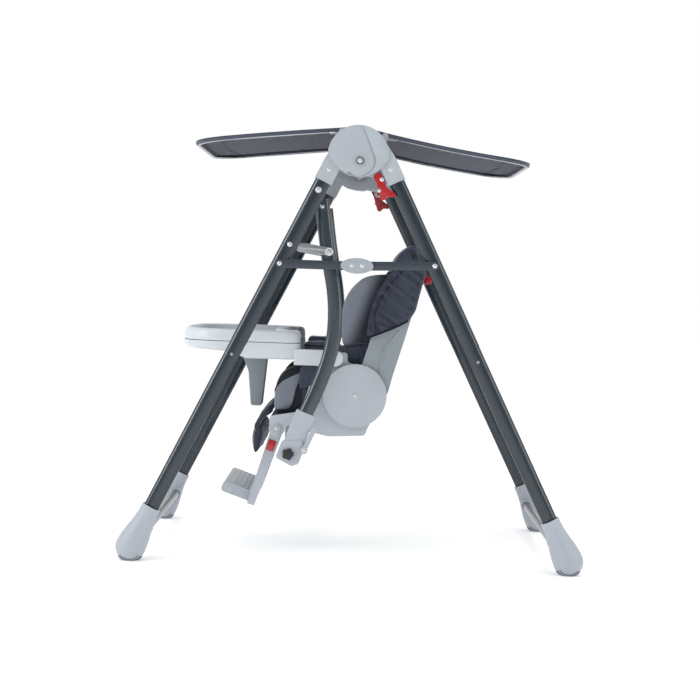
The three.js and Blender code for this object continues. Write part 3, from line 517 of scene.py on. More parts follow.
def foot(end, side, sign):
    """A bulb with a collar, its mould line, the ribbed rubber tread and the cross bar's socket."""
    node = f"{end}_foot_{side}"
    body = body_of[node]
    angle = LEG_ANGLE[end]
    up = Vector((0, -END[end] * math.sin(angle), math.cos(angle)))
    radius, narrow, length, collar = 0.036, 0.86, 0.108, 0.023
    bottom = leg_axis(f"{end}_leg_{side}", -up)[1]
    centre = bottom - up * (length - 0.076)
    profile = []
    for k in range(15):
        a = math.radians(-90 + 6.43 * k)
        profile.append((radius * math.cos(a), radius * math.sin(a)))
    for k in range(1, 19):
        t = k / 18
        share = 0.5 + 0.5 * math.cos(math.pi * min(1.0, t * 1.12))
        profile.append((collar + (radius - collar) * share, length * t))
    profile += [(collar - r, length + h)
                for r, h in ((0.0006, 0), (0.0018, 0.0008), (0.0034, 0.0006), (0.0036, -0.012))]
    v = Vector((1, 0, 0))
    w = up.cross(v).normalized()
    rings = [[centre + up * h + v * (narrow * r * math.cos(a)) + w * (r * math.sin(a)) for a in turn(56)]
             for r, h in profile]
    for ring in rings:
        for p in ring:
            p.z = max(p.z, 0.0004)
    finish(lofted(f"{node}_shell", rings, 45), body, "foot_plastic", "foot", replaces=(node,))
    line = [centre + up * h + v * (sign * narrow * (r + 0.00005)) for r, h in profile[4:26]]
    seam = tube(f"{node}_mould_line", [p for p in line if p.z > 0.003], 0.00045, 6)
    finish(seam, body, "foot_plastic", "foot")
    treads = []
    for i in range(7):
        x = (i - 3) * 0.0066
        span = math.sqrt(max(0.0, 1 - (x / (narrow * radius)) ** 2)) * radius + 0.0003
        arc = []
        for k in range(13):
            a = math.radians(-90 - 52 + k * 104 / 12)
            p = centre + Vector((x, 0, 0)) + Vector((0, math.cos(a), math.sin(a))) * span
            p.z = max(p.z, 0.0012)
            arc.append(p)
        treads.append(tube(f"{node}_rib_{i}", arc, 0.0012, 6))
    finish(joined(f"{node}_tread", treads), body, "foot_plastic", "rubber")
    lo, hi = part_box(f"{end}_cross_bar")
    bar = (lo + hi) / 2
    socket = [(11.3, 10), (14.6, 10), (14.6, -2), (13.8, -3.4), (11.6, -3.6), (11.3, -3)]
    mouth = Vector((sign * (LEG_PLANE - 0.029), bar.y, bar.z))
    lug = lathe(f"{node}_socket", socket, mouth, (sign, 0, 0), 32)
    finish(lug, body, "foot_plastic", "foot")


def round_bar(node, material, radius):
    lo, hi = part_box(node)
    mid = (lo + hi) / 2
    bar = tube(f"{node}_tube", [Vector((lo.x, mid.y, mid.z)), Vector((hi.x, mid.y, mid.z))], radius, 32)
    finish(bar, body_of[node], slot_of[node], material, replaces=(node,))


for end in ("front", "rear"):
    for side, sign in SIDES:
        leg(end, side, sign)
        foot(end, side, sign)
    round_bar(f"{end}_cross_bar", "bar", 0.011)
round_bar("carrier_bar", "bar", 0.009)


# ------------------------------------------------------------------ hard parts kept at their CAD shape

PAIRED = (("hub_front", "hub", 1.8, 3), ("hub_rear", "hub", 1.8, 3), ("fold_lever", "red", 0.8, 3),
          ("brace_front_link", "brace", 0.5), ("brace_rear_link", "brace", 0.5),
          ("brace_cover", "oval", 1.6, 4), ("swing_bolt", "zinc", 0.6), ("lock_link", "zinc", 0.5),
          ("lock_plunger", "screw", 0.7, 3), ("hanger_sleeve", "sleeve", 1.5, 3),
          ("star_knob", "black", 1.2, 3, 24), ("latch_lever", "sleeve", 0.8),
          ("recline_disc", "shell", 1.5, 3), ("footrest_arm", "sleeve", 1.4, 3),
          ("footrest_button", "red", 0.9, 3))
SINGLE = (("top_cross_bar", "bar", 0.6), ("seat_base", "shell", 2.0, 3, 35),
          ("backrest_shell", "back", 1.5, 3, 35), ("recline_handle", "red", 1.2, 3),
          ("tray_post", "post", 3.0, 4), ("canopy_front_wire", "zinc", 0), ("canopy_rear_wire", "zinc", 0))
for side, _ in SIDES:
    for stem, *how in PAIRED:
        refine(f"{stem}_{side}", *how)
for node, *how in SINGLE:
    refine(node, *how)


def hanger(side, sign):
    """The bowed oval tube, and the strap and bolt head at its top."""
    node = f"hanger_tube_{side}"
    x = sign * (LEG_PLANE - 0.045)
    top, mouth = 455.0, -38.0
    bow = [(-131, -0.09), (-115, 0), (-93, 0.103), (-71, 0.229), (-57, 0.353), (-54, 0.481),
           (-59, 0.6), (-72, 0.736), (-83, 0.866), (-95, 1.035)]
    path = spline([seat(y, mouth + share * (top - mouth), x * 1000) for y, share in bow], 72)
    tube_part = oval_tube(f"{node}_bow", path, 0.035, 0.018)
    bolt, low = joint_at["swing"], seat(-93, 455)
    link = moulded(f"{node}_strap", capsule((bolt.y, bolt.z), (low.y, low.z), 0.0095, 14),
                   x + sign * 0.0084, x + sign * 0.012, 0.0006)
    head = lathe(f"{node}_head", [(0, 0), (7, 0), (7, 2), (5.6, 3.4), (0, 4.0)],
                 Vector((x + sign * 0.012, low.y, low.z)), (sign, 0, 0), 24)
    finish(joined(f"{node}_finished", [tube_part, link, head]), body_of[node], "tube_paint", "hanger",
           replaces=(node,))


def capsule(a, b, radius, steps):
    """Outline of a flat bar with round ends, in the YZ plane."""
    angle = math.atan2(b[1] - a[1], b[0] - a[0])
    return [(end[0] + radius * math.cos(t), end[1] + radius * math.sin(t))
            for end, start in ((b, angle - math.pi / 2), (a, angle + math.pi / 2))
            for t in (start + math.pi * k / steps for k in range(steps + 1))]


def moulded(name, outline, x0, x1, radius):
    """A plate in the YZ plane, thick along X, with rolled edges."""
    curve = bpy.data.curves.new(name, "CURVE")
    curve.dimensions = "2D"
    curve.fill_mode = "BOTH"
    curve.extrude = abs(x1 - x0) / 2 - radius
    curve.bevel_depth = radius
    curve.bevel_resolution = 3
    curve.offset = -radius
    loop = curve.splines.new("POLY")
    loop.points.add(len(outline) - 1)
    for point, (y, z) in zip(loop.points, outline):
        point.co = (y, z, 0, 1)
    loop.use_cyclic_u = True
    obj = new_object(name, curve)
    graph = bpy.context.evaluated_depsgraph_get()
    graph.update()
    mesh = bpy.data.meshes.new_from_object(obj.evaluated_get(graph))
    bpy.data.objects.remove(obj)
    mesh.transform(Matrix(((0, 0, 1, (x0 + x1) / 2), (1, 0, 0, 0), (0, 1, 0, 0), (0, 0, 0, 1))))
    edit(mesh, lambda bm: welded(bm, 1e-6), outward)
    smooth(mesh, 40)
    return new_object(name, mesh)


for side, sign in SIDES:
    hanger(side, sign)


# ------------------------------------------------------------------ tray

def tray_plan(inset):
    """The tray's plan outline at an inset, with the same number of points at every inset."""
    half, front, rear = 200 - inset, -436 + inset, -137 - inset
    pts = []

    def quad(a, c, b, n):
        for k in range(n):
            t = k / n
            pts.append(tuple((1 - t) ** 2 * a[i] + 2 * t * (1 - t) * c[i] + t * t * b[i] for i in (0, 1)))

    def line(a, b, n):
        for k in range(n):
            pts.append(tuple(a[i] + (b[i] - a[i]) * k / n for i in (0, 1)))

    quad((-half + 28, rear), (-half, rear), (-half, rear - 40), 10)
    line((-half, rear - 40), (-half, front + 110), 8)
    quad((-half, front + 110), (-half, front + 12), (-half + 95, front + 6), 16)
    quad((-half + 95, front + 6), (0, front - 8), (half - 95, front + 6), 14)
    quad((half - 95, front + 6), (half, front + 12), (half, front + 110), 16)
    line((half, front + 110), (half, rear - 40), 8)
    quad((half, rear - 40), (half, rear), (half - 28, rear), 10)
    line((half - 28, rear), (half - 62, rear), 3)
    quad((half - 62, rear), (half - 85, rear - 52), (0, rear - 54), 14)
    quad((0, rear - 54), (-half + 85, rear - 52), (-half + 62, rear), 14)
    line((-half + 62, rear), (-half + 28, rear), 3)
    return pts


def tray_ring(inset, height):
    return [seat(y, height, x) for x, y in tray_plan(inset)]


TRAY_PART, TRAY_BOTTOM = 123.35, 83.0
CUP_Y, CUP_RADIUS = -318, 38


def flat_circle(x, y, z, radius):
    return [seat(y + radius * math.sin(a), z, x + radius * math.cos(a)) for a in turn(48)]


def tray_lid():
    """The tray's top: its rolled rim, the recess, and the moulded rings and bead in it."""
    rings = [tray_ring(i, z) for i, z in (
        (4, TRAY_PART + 0.2), (1.6, TRAY_PART + 0.6), (1, TRAY_PART + 1.6), (1, 132), (1.4, 140),
        (2.6, 146), (5, 150), (8, 152), (11.5, 152.9), (14.5, 152.2), (16.8, 150), (18.2, 146.5),
        (19.6, 142), (22, 138.2), (26, 136.2), (31, 135.6))]
    mesh = rings_to_mesh("tray_lid", rings, cap_end=False)
    edit(mesh, filled)
    smooth(mesh, 40)
    finish(new_object("tray_lid", mesh), "tray", "tray_plastic", "tray", replaces=("tray_top",))
    details = []
    for x in (-108, 108):
        for label, z, radius, thick, sides in (("rim", 136.6, CUP_RADIUS, 0.0022, 10),
                                               ("step", 135.9, CUP_RADIUS - 9, 0.0014, 8)):
            circle = flat_circle(x, CUP_Y, z, radius)
            details.append(tube(f"cup_{label}_{x}", circle, thick, sides, closed=True))
    details.append(tube("tray_bead", tray_ring(46, 136.1), 0.0014, 8, closed=True))
    finish(joined("tray_moulding", details), "tray", "tray_plastic", "tray")


def tray_floor(y):
    """Height of the underside at a distance from the recline axis."""
    knots = [(-446, 116.0), (-436, 110.0), (-405, 103.0), (-300, 98.0), (-276, TRAY_BOTTOM),
             (0, TRAY_BOTTOM)]
    for (a, za), (b, zb) in zip(knots, knots[1:]):
        if y <= b:
            t = max(0.0, (y - a) / (b - a))
            return za + (zb - za) * t
    return TRAY_BOTTOM


def outlined(points):
    """Millimetres from the recline axis to (y, z) in the frame."""
    return [(seat(y, z).y, seat(y, z).z) for y, z in points]


def tray_base():
    """The tray's lower shell and the two arms that carry it along the seat base."""
    rings = []
    # inset of the plan, share of the way down to the underside, and how far below the parting line
    for inset, share, below in (
            (0.8, 0, 0.9), (0.2, 0, 0.35), (0, 0.06, 0.9), (0, 0.45, 0.9), (0.4, 0.72, 0.9), (1.6, 0.88, 0.9),
            (4, 0.97, 0.9), (8, 1, 0.9), (16, 1, 0.9), (30, 1, 0.9)):
        high = 123.0 - below
        rings.append([seat(y, high + (tray_floor(y) - high) * share, x) for x, y in tray_plan(inset)])
    mesh = rings_to_mesh("tray_base", rings, cap_end=False)
    edit(mesh, filled, outward)
    smooth(mesh, 40)
    parts = [new_object("tray_base_shell", mesh)]
    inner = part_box("seat_base")[1].x + 0.00105
    end, radius = seat(-51, 90), 0.0195
    for side, sign in SIDES:
        pts = outlined([(-152, 70.5), (-51, 70.5)])
        for k in range(1, 24):
            a = -math.pi / 2 + math.pi * k / 24
            pts.append((end.y + radius * math.cos(a), end.z + radius * math.sin(a)))
        pts += outlined([(-51, 109.5), (-152, 109.5)])
        parts.append(moulded(f"tray_arm_{side}", pts, sign * inner, sign * (inner + 0.019), 0.0028))
    finish(joined("tray_base", parts), "tray", "tray_plastic", "tray", replaces=("tray_body",))


tray_lid()
tray_base()


# ------------------------------------------------------------------ screws and rivets

def at(joint):
    return joint_at[joint].y, joint_at[joint].z


def face_of(node):
    """How far out from the middle plane a node reaches."""
    lo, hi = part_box(node)
    return max(abs(lo.x), abs(hi.x))


def screw(y, z, x, sign, radius=4.4, height=2.2):
    """A domed head on a washer."""
    base, out, sides = Vector((x * sign, y, z)), (sign, 0, 0), 22
    rim = [(0, 0), (radius * 1.3, 0), (radius * 1.34, 0.3), (radius * 1.2, 0.7), (0, 0.7)]
    dome = [(0, 0.5), (radius, 0.6)]
    for k in range(1, 6):
        a = math.radians(18 * k)
        dome.append((radius * math.cos(a) if k < 5 else 0, 0.6 + (height - 0.6) * math.sin(a)))
    return [lathe("w", rim, base, out, sides), lathe("h", dome, base, out, sides)]


def screws(name, body, sign, *places):
    """Screws of one body; each place is y, z, x and the head's radius and height."""
    made = []
    for y, z, x, *size in places:
        made += screw(y, z, x, sign, *size)
    finish(joined(name, made), body, "zinc", "screw")


for side, sign in SIDES:
    lo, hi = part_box(f"brace_cover_{side}")
    cover, cover_face = (lo + hi) / 2, face_of(f"brace_cover_{side}")
    lever_y, lever_z = at(f"fold_lever_{side}")
    lever_face = face_of(f"fold_lever_{side}")
    screws(f"frame_screws_front_{side}", "front_frame", sign,
           (*at("swing"), face_of(f"swing_bolt_{side}"), 4.6),
           (FOLD.y, FOLD.z, face_of("top_cross_bar"), 4.2),
           (-0.078, 0.939, LEG_PLANE + 0.0139, 3.6),
           (*at(f"lock_{side}"), LEG_PLANE + 0.010, 4.4, 2.6))
    screws(f"frame_screws_rear_{side}", "rear_frame", sign, (0.0655, 0.9435, LEG_PLANE + 0.0199, 3.4))
    screws(f"brace_screw_front_{side}", f"front_brace_{side}", sign,
           (*at(f"brace_front_{side}"), face_of(f"brace_front_link_{side}") - 0.0003, 4.0))
    screws(f"brace_screws_rear_{side}", f"rear_brace_{side}", sign,
           (*at(f"brace_rear_{side}"), face_of(f"brace_rear_link_{side}"), 4.0),
           (cover.y - 0.012, cover.z, cover_face, 3.4),
           (cover.y + 0.012, cover.z, cover_face, 3.4))
    screws(f"lever_screws_{side}", f"fold_release_{side}", sign,
           (lever_y, lever_z, lever_face, 3.8), (lever_y - 0.006, lever_z - 0.0265, lever_face, 3.2))
    screws(f"seat_screws_{side}", "swing_seat", sign,
           (SEAT.y, SEAT.z, face_of(f"recline_disc_{side}") - 0.0002, 3.0, 1.8),
           (SEAT.y - 0.093, SEAT.z + 0.455, LEG_PLANE - 0.045 + 0.0158, 3.4))
    screws(f"footrest_screw_{side}", "footrest", sign,
           (*at("footrest_tilt"), face_of(f"footrest_arm_{side}"), 3.6))
    screws(f"latch_screw_{side}", f"hanger_latch_{side}", sign,
           (*at(f"latch_{side}"), face_of(f"latch_lever_{side}"), 3.2))


# ------------------------------------------------------------------ soft goods

def even_mesh(obj, size):
    """Rebuilds the skin with even faces."""
    mod = obj.modifiers.new("even mesh", "REMESH")
    mod.mode = "VOXEL"
    mod.voxel_size = size / 1000
    return baked(obj)


def remeshed(name, node, size):
    """A copy of a soft node's solid with an even mesh that cloth can bend."""
    obj = new_object(name, nodes[node].data.copy())
    edit(obj.data, welded)
    return even_mesh(obj, size)


def coordinates(mesh):
    co = np.empty(len(mesh.vertices) * 3)
    mesh.vertices.foreach_get("co", co)
    return co.reshape(-1, 3)


def put_coordinates(mesh, co):
    mesh.vertices.foreach_set("co", np.asarray(co, float).ravel())
    mesh.update()


def normals(mesh):
    no = np.empty(len(mesh.vertices) * 3)
    mesh.vertices.foreach_get("normal", no)
    return no.reshape(-1, 3)


def relax(obj, rounds, factor=0.5):
    mesh = obj.data
    edges = np.empty(len(mesh.edges) * 2, int)
    mesh.edges.foreach_get("vertices", edges)
    edges = edges.reshape(-1, 2)
    co = coordinates(mesh)
    degree = np.bincount(edges.ravel(), minlength=len(co))[:, None]
    for _ in range(rounds):
        total = np.zeros_like(co)
        np.add.at(total, edges[:, 0], co[edges[:, 1]])
        np.add.at(total, edges[:, 1], co[edges[:, 0]])
        co = co + factor * (total / np.maximum(degree, 1) - co)
    put_coordinates(mesh, co)


def inflate(obj, cap, shrink):
    """Swells the pad as cloth under pressure, each point moving at most cap millimetres."""
    relax(obj, 5)
    mesh = obj.data
    put_coordinates(mesh, coordinates(mesh) - normals(mesh) * shrink / 1000)
    start = coordinates(mesh).copy()
    mod = obj.modifiers.new("filling", "CLOTH")
    for key, value in (("quality", 4), ("use_pressure", True), ("uniform_pressure_force", 4.0),
                       ("tension_stiffness", 12), ("compression_stiffness", 12), ("shear_stiffness", 6),
                       ("bending_stiffness", 0.4)):
        setattr(mod.settings, key, value)
    mod.settings.effector_weights.gravity = 0
    mod.collision_settings.use_collision = False
    frames = 20
    mod.point_cache.frame_start, mod.point_cache.frame_end = 1, frames
    for step in range(1, frames + 1):
        scene.frame_set(step)
    graph = bpy.context.evaluated_depsgraph_get()
    end = coordinates(obj.evaluated_get(graph).to_mesh())
    obj.evaluated_get(graph).to_mesh_clear()
    obj.modifiers.clear()
    scene.frame_set(1)
    move = end - start
    far = np.linalg.norm(move, axis=1, keepdims=True)
    put_coordinates(mesh, start + move * np.minimum(1.0, (cap / 1000) / np.maximum(far, 1e-9)))
    relax(obj, 2)


def subdivided(obj, levels=1):
    mod = obj.modifiers.new("finer", "SUBSURF")
    mod.levels = mod.render_levels = levels
    baked(obj)
    smooth(obj.data, 0)
    return obj


def near_lines(points, lines):
    """Distance from each point to the nearest of several polylines."""
    best = np.full(len(points), 1e9)
    for line in lines:
        pts = np.array([tuple(p) for p in line])
        for a, b in zip(pts, pts[1:]):
            d = b - a
            t = np.clip(((points - a) @ d) / max(d @ d, 1e-12), 0, 1)
            best = np.minimum(best, np.linalg.norm(points - (a + t[:, None] * d), axis=1))
    return best


def seams(obj, lines, width=5.0, depth=3.0):
    """Draws the pad in along its sewn lines."""
    mesh = obj.data
    co = coordinates(mesh)
    far = near_lines(co, lines) * 1000
    pull = depth * np.exp(-(far / width) ** 2) / 1000
    put_coordinates(mesh, co - normals(mesh) * pull[:, None])


def rumple(obj, size, depth, seed=0.0, stretch=(1, 1, 1)):
    """Soft unevenness in two sizes of noise."""
    mesh = obj.data
    co, no = coordinates(mesh), normals(mesh)
    a, b, c = stretch
    shift = np.array([
        noise.noise(Vector((x * a / size + seed, y * b / size, z * c / size)))
        + 0.5 * noise.noise(Vector((x * a * 2.1 / size, y * b * 2.1 / size + seed, z * 2.1 / size)))
        for x, y, z in co])
    put_coordinates(mesh, co + no * (shift * depth / 1000)[:, None])


def keep_inside(obj, node, grow=4.0):
    """Holds a soft piece within its solid's box, a little proud at most."""
    lo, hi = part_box(node)
    co = coordinates(obj.data)
    low = np.array(lo) - grow / 1000
    high = np.array(hi) + grow / 1000
    put_coordinates(obj.data, np.clip(co, low, high))


def tree_of(obj):
    return BVHTree.FromPolygons([v.co.copy() for v in obj.data.vertices],
                                [tuple(p.vertices) for p in obj.data.polygons])


def dropped(tree, points, direction, proud=0.0):
    """Points carried along a direction until they lie on the pad."""
    direction = Vector(direction).normalized()
    out = []
    for p in points:
        hit = tree.ray_cast(Vector(p) - direction * 0.12, direction, 0.4)
        if hit[0] is not None:
            out.append(hit[0] - direction * (proud / 1000))
    return out


def eased(points, rounds=2):
    pts = [Vector(p) for p in points]
    if len(pts) < 3:
        return pts
    for _ in range(rounds):
        pts = [pts[0]] + [(a + 2 * b + c) / 4 for a, b, c in zip(pts, pts[1:], pts[2:])] + [pts[-1]]
    return pts


def inside(poly, y, z):
    hit = False
    for (y0, z0), (y1, z1) in zip(poly, poly[1:] + poly[:1]):
        if (z0 > z) != (z1 > z) and y < (y1 - y0) * (z - z0) / (z1 - z0) + y0:
            hit = not hit
    return hit


def paint(obj, pick):
    """Gives each face a material slot by its middle, in millimetres from the recline axis."""
    for poly in obj.data.polygons:
        c = poly.center
        poly.material_index = pick(c.x * 1000, (c.y - SEAT.y) * 1000, (c.z - SEAT.z) * 1000)


def side_line(tree, points, sign, count, proud=0.6):
    """A line drawn on the pad's outer side."""
    line = spline([seat(y, z, sign * 172) for y, z in points], count)
    return eased(dropped(tree, line, (-sign, 0, 0), proud), 3)


def both_sides(tree, points, count, proud=0.6):
    return [side_line(tree, points, sign, count, proud) for _, sign in SIDES]


def drawn(tree, lines, direction):
    """Lines laid on the pad from one direction."""
    return [eased(dropped(tree, line, direction)) for line in lines]


# the seat cushion, with its side bolsters
ARCH = [(-201, -45), (-202, -15), (-195, 11), (-182, 29), (-153, 46), (-128, 54), (-134, 40), (-142, 14),
        (-147, -8), (-152, -28), (-163, -42)]
ARM_TOP = [(-134, 118), (-110, 118), (-80, 117), (-54, 118)]
ARM_FOOT = [(-135, 78), (-112, 77), (-88, 74), (-66, 80)]


def seat_cushion():
    pad = remeshed("seat_cushion", "seat_pad", 5.5)
    inflate(pad, 7.0, 3.5)
    subdivided(pad)
    tree = tree_of(pad)
    loop = ARCH + ARCH[:1]
    outer = both_sides(tree, loop, 90) + both_sides(tree, ARM_FOOT, 24) + both_sides(tree, ARM_TOP, 24)
    across = [[seat(y, 60, x) for x in range(-112, 113, 8)] for y in (-150, -95, -40)]
    along = [[seat(y, 60, x * 0.93) for y in range(-196, 8, 8)] for x in (-112, 112)]
    centre = drawn(tree, across + along, (0, 0, -1))
    seams(pad, outer, 4.0, 2.2)
    seams(pad, centre, 7.0, 4.5)
    rumple(pad, 0.05, 1.6, 3.0)
    keep_inside(pad, "seat_pad", 2.0)

    def pick(x, y, z):
        if abs(x) > 150 and inside(ARCH, y, z) or abs(x) < 114 and z < 60:
            return 0
        if z > 106 or z > -70 and y > -128 and abs(x) > 150:
            return 2
        return 1

    finish(pad, "swing_seat", "grey_fabric", "grey", "lining", "dark", replaces=("seat_pad",))
    paint(pad, pick)
    tree = tree_of(pad)
    trims = []
    for _, sign in SIDES:
        arch = side_line(tree, loop, sign, 90, 1.0)[:-1]
        trims.append(tube(f"arch_piping_{sign}", arch, 0.0024, 8, closed=True))
        trims.append(tube(f"arm_piping_{sign}", side_line(tree, ARM_TOP, sign, 30, 0.8), 0.0021, 8))
    finish(joined("seat_piping", trims), "swing_seat", "dark_fabric", "piping")
    stitches("seat_stitching", "swing_seat", tree, centre, (0, 0, -1))


def loose_cloth(name, body, points, inner, outer, edge, size, rounds, folds, depth, seed, stretch):
    """A gathered piece of the dark cover on both sides, inner to outer metres from the middle."""
    for side, sign in SIDES:
        cloth = moulded(f"{name}_{side}", outlined(points), sign * inner, sign * outer, edge)
        even_mesh(cloth, size)
        relax(cloth, rounds)
        rumple(cloth, folds, depth, seed + sign, stretch)
        smooth(cloth.data, 0)
        finish(cloth, body, "dark_fabric", "dark")


def stitches(name, body, tree, lines, direction, pitch=5.0):
    """Short raised stitches along sewn lines."""
    made = []
    for line in lines:
        pts = [Vector(p) for p in line]
        length = sum((b - a).length for a, b in zip(pts, pts[1:]))
        if length < 0.02:
            continue
        even = spline(pts, max(4, int(length * 1000 / pitch) * 2))
        on = dropped(tree, even, direction, 0.5)
        for a, b in list(zip(on, on[1:]))[::2]:
            if (b - a).length < 0.012:
                made.append(tube("s", [a, b], 0.0006, 5))
    if made:
        finish(joined(name, made), body, "dark_fabric", "thread")


# the backrest cushion with its deep wings
def back_cushion():
    pad = remeshed("back_cushion", "backrest_pad", 5.5)
    inflate(pad, 10.0, 2.0)
    subdivided(pad)
    tree = tree_of(pad)
    wing_low = [(-42, 121), (-28, 120), (-12, 119.5), (12, 120), (30, 122), (48, 119)]
    across = [[seat(-60, z, x) for x in range(-122, 123, 8)] for z in (70, 135, 200, 262)]
    upward = [[seat(-60, z, x) for z in range(40, 290, 8)] for x in (-118, 118)]
    centre = drawn(tree, across + upward, (0, 1, 0))
    seams(pad, both_sides(tree, wing_low, 40), 4.5, 2.6)
    seams(pad, centre, 7.0, 5.0)
    rumple(pad, 0.06, 1.5, 8.0)
    keep_inside(pad, "backrest_pad", 4.0)
    finish(pad, "backrest", "grey_fabric", "wing", "lining", "grey", replaces=("backrest_pad",))
    paint(pad, lambda x, y, z: 1 if z < 119 and abs(x) > 128 else 0 if abs(x) > 142 else 2)
    tree = tree_of(pad)
    trims = [tube("wing_piping", line, 0.0026, 8) for line in both_sides(tree, wing_low, 40, 1.2)]
    finish(joined("back_piping", trims), "backrest", "dark_fabric", "piping")
    stitches("back_stitching", "backrest", tree, centre, (0, 1, 0))


# the quilted head cover over the top of the backrest
COVER_SIDE = [(125, 186), (140, 211), (154, 272), (164, 305), (133, 376), (109, 361), (91, 340),
              (83, 312), (65, 293), (44, 254), (30, 217), (21, 151), (23, 139), (51, 152), (88, 167)]


def head_cover():
    cover = remeshed("head_cover_cloth", "head_cover", 3.0)
    relax(cover, 8)
    put_coordinates(cover.data, coordinates(cover.data) + normals(cover.data) * 0.0014)
    tree = tree_of(cover)
    side_seam = [(46, 160), (42, 196), (52, 232), (72, 268), (98, 300), (118, 322), (134, 350)]

    def on_cover(points, count, sign, proud=0.0, shift=Vector()):
        line = [p + shift for p in spline([seat(y, z, sign * 205) for y, z in points], count)]
        return eased(dropped(tree, line, (-sign, 0, 0), proud), 3)

    lines = [on_cover(side_seam, 60, sign) for _, sign in SIDES]
    co, no = coordinates(cover.data), normals(cover.data)
    local_y = (co[:, 1] - SEAT.y) * 1000
    local_z = (co[:, 2] - SEAT.z) * 1000
    side = np.clip((np.abs(co[:, 0]) * 1000 - 178) / 8, 0, 1)
    # the wing is lightly filled: it crowns between its edges and puckers along its seams
    edge = near_lines(np.stack([np.zeros(len(co)), local_y, local_z], 1),
                      [[(0, y, z) for y, z in COVER_SIDE + COVER_SIDE[:1]]])
    crown = 12.0 * np.clip(edge / 34, 0, 1) ** 0.6 * side * (no[:, 0] * np.sign(co[:, 0]) > 0.2)
    folds = np.array([
        abs(noise.noise(Vector((0, (y * 0.5 + z * 0.85) / 19 + 7.3, (y * 0.85 - z * 0.5) / 105)))) ** 0.65
        + 0.35 * abs(noise.noise(Vector((3.1, (y * 0.9 + z * 0.3) / 21, (z * 0.9 - y * 0.3) / 90))))
        for y, z in zip(local_y, local_z)])
    crown -= 15.0 * folds * side * np.clip(edge / 10, 0, 1)
    put_coordinates(cover.data, co + no * (crown / 1000)[:, None])
    rumple(cover, 0.045, 1.2, 21.0)
    seams(cover, lines, 3.2, 2.6)
    relax(cover, 1)
    keep_inside(cover, "head_cover", 9.0)
    smooth(cover.data, 0)
    finish(cover, "backrest", "dark_fabric", "dark", replaces=("head_cover",))
    tree = tree_of(cover)
    low = [(22, 142), (36, 145), (51, 151), (70, 159), (88, 167), (108, 177), (125, 187)]
    front = [(22, 146), (21.5, 160), (24, 185), (30, 217), (44, 254), (65, 292), (83, 311)]
    trims = []
    for _, sign in SIDES:
        for label, line, radius, shift in (("low", low, 0.0028, (0, 0, 0.0022)),
                                           ("front", front, 0.0011, (0, 0.0018, 0))):
            on = on_cover(line, 50, sign, 0.4, Vector(shift))
            if len(on) > 3:
                trims.append(tube(f"cover_{label}_{sign}", on, radius, 8))
    finish(joined("cover_binding", trims), "backrest", "dark_fabric", "piping")
    sewn = [tube(f"cover_seam_{sign}", on_cover(side_seam, 60, sign, 0.3), 0.0008, 6) for _, sign in SIDES]
    finish(joined("cover_seam", sewn), "backrest", "dark_fabric", "piping")


# the leg rest flap
def leg_rest():
    pad = remeshed("leg_rest", "legrest_pad", 4.5)
    inflate(pad, 5.0, 2.5)
    subdivided(pad)
    tree = tree_of(pad)
    rows = [[seat(-300, z, x) for z in range(-158, -86, 6)] for x in (-92, -46, 0, 46, 92)]
    lines = drawn(tree, rows, (0, 1, 0))
    seams(pad, lines, 5.0, 3.0)
    rumple(pad, 0.04, 1.8, 13.0)
    keep_inside(pad, "legrest_pad", 3.0)
    finish(pad, "footrest", "dark_fabric", "legrest", replaces=("legrest_pad",))
    stitches("leg_rest_stitching", "footrest", tree_of(pad), lines, (0, 1, 0))
    # the fabric that joins the leg rest to the front of the seat
    rings = []
    for step in range(25):
        t = step / 24
        x = -142 + 284 * t
        wave = 1.6 * math.sin(t * 23) + 1.2 * math.sin(t * 41 + 1)
        ring = []
        for y, z in ((-206, -30), (-216, -38), (-229, -52), (-240, -70), (-246, -84), (-248, -96),
                     (-241, -97), (-236, -86), (-229, -74), (-219, -62), (-209, -56), (-203, -50)):
            ring.append(seat(y + wave * 0.6, z + wave * 0.35, x))
        rings.append(ring)
    flap = new_object("leg_flap", rings_to_mesh("leg_flap", rings))
    subdivided(flap, 2)
    rumple(flap, 0.022, 2.2, 31.0, (0.45, 1, 1))
    flap.data.materials.clear()
    flap.data.materials.append(M["legrest"])
    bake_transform(flap)


# ------------------------------------------------------------------ canopy

RIDGE = 84.0
SLOPE = {"front": 0.0824, "rear": 0.2304}
BEND = {"front": -0.0000571, "rear": 0.000158}
LENGTH = {"front": 400.0, "rear": 412.0}
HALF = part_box("canopy_front_sheet")[1].x * 1000
CORNER = 100.0


def canopy_point(part, x, distance, drop):
    sign = -1 if part == "front" else 1
    top = RIDGE - SLOPE[part] * distance + BEND[part] * distance ** 2
    return Vector((x / 1000, FOLD.y + sign * distance / 1000, FOLD.z + (top - drop) / 1000))


def canopy_edge(part, inset):
    """The edge from the ridge round both tip corners and back, in x and distance."""
    count = 22
    half, reach, r = HALF - inset, LENGTH[part] - inset, CORNER - inset * 0.6
    pts = [(half, 2 + (reach - r - 2) * k / count) for k in range(count)]
    pts += [tuple((1 - t) ** 2 * a + 2 * t * (1 - t) * c + t * t * b for a, c, b in
                  ((half, half, half - r), (reach - r, reach, reach))) for t in (k / 14 for k in range(15))]
    pts += [(half - r - 2 * (half - r) * k / count, reach) for k in range(1, count)]
    pts += [(-x, d) for x, d in reversed(pts[:count + 15])]
    return pts


def half_width(part, distance, inset=0.0):
    half, reach, r = HALF - inset, LENGTH[part] - inset, CORNER - inset * 0.6
    if distance <= reach - r:
        return half
    t = max(0.0, min(1.0, (distance - (reach - r)) / r))
    # the corner is a parabola: distance share is 2t(1-t)+t*t, x share is its mirror
    s = 1 - math.sqrt(max(0.0, 1 - t))
    return half - r * s * s


def sag(u, share):
    """How far the cloth hangs, by its place across (-1 to 1) and along (0 to 1)."""
    return (1 - u * u) * math.sin(math.pi * min(1.0, share)) * 2.2


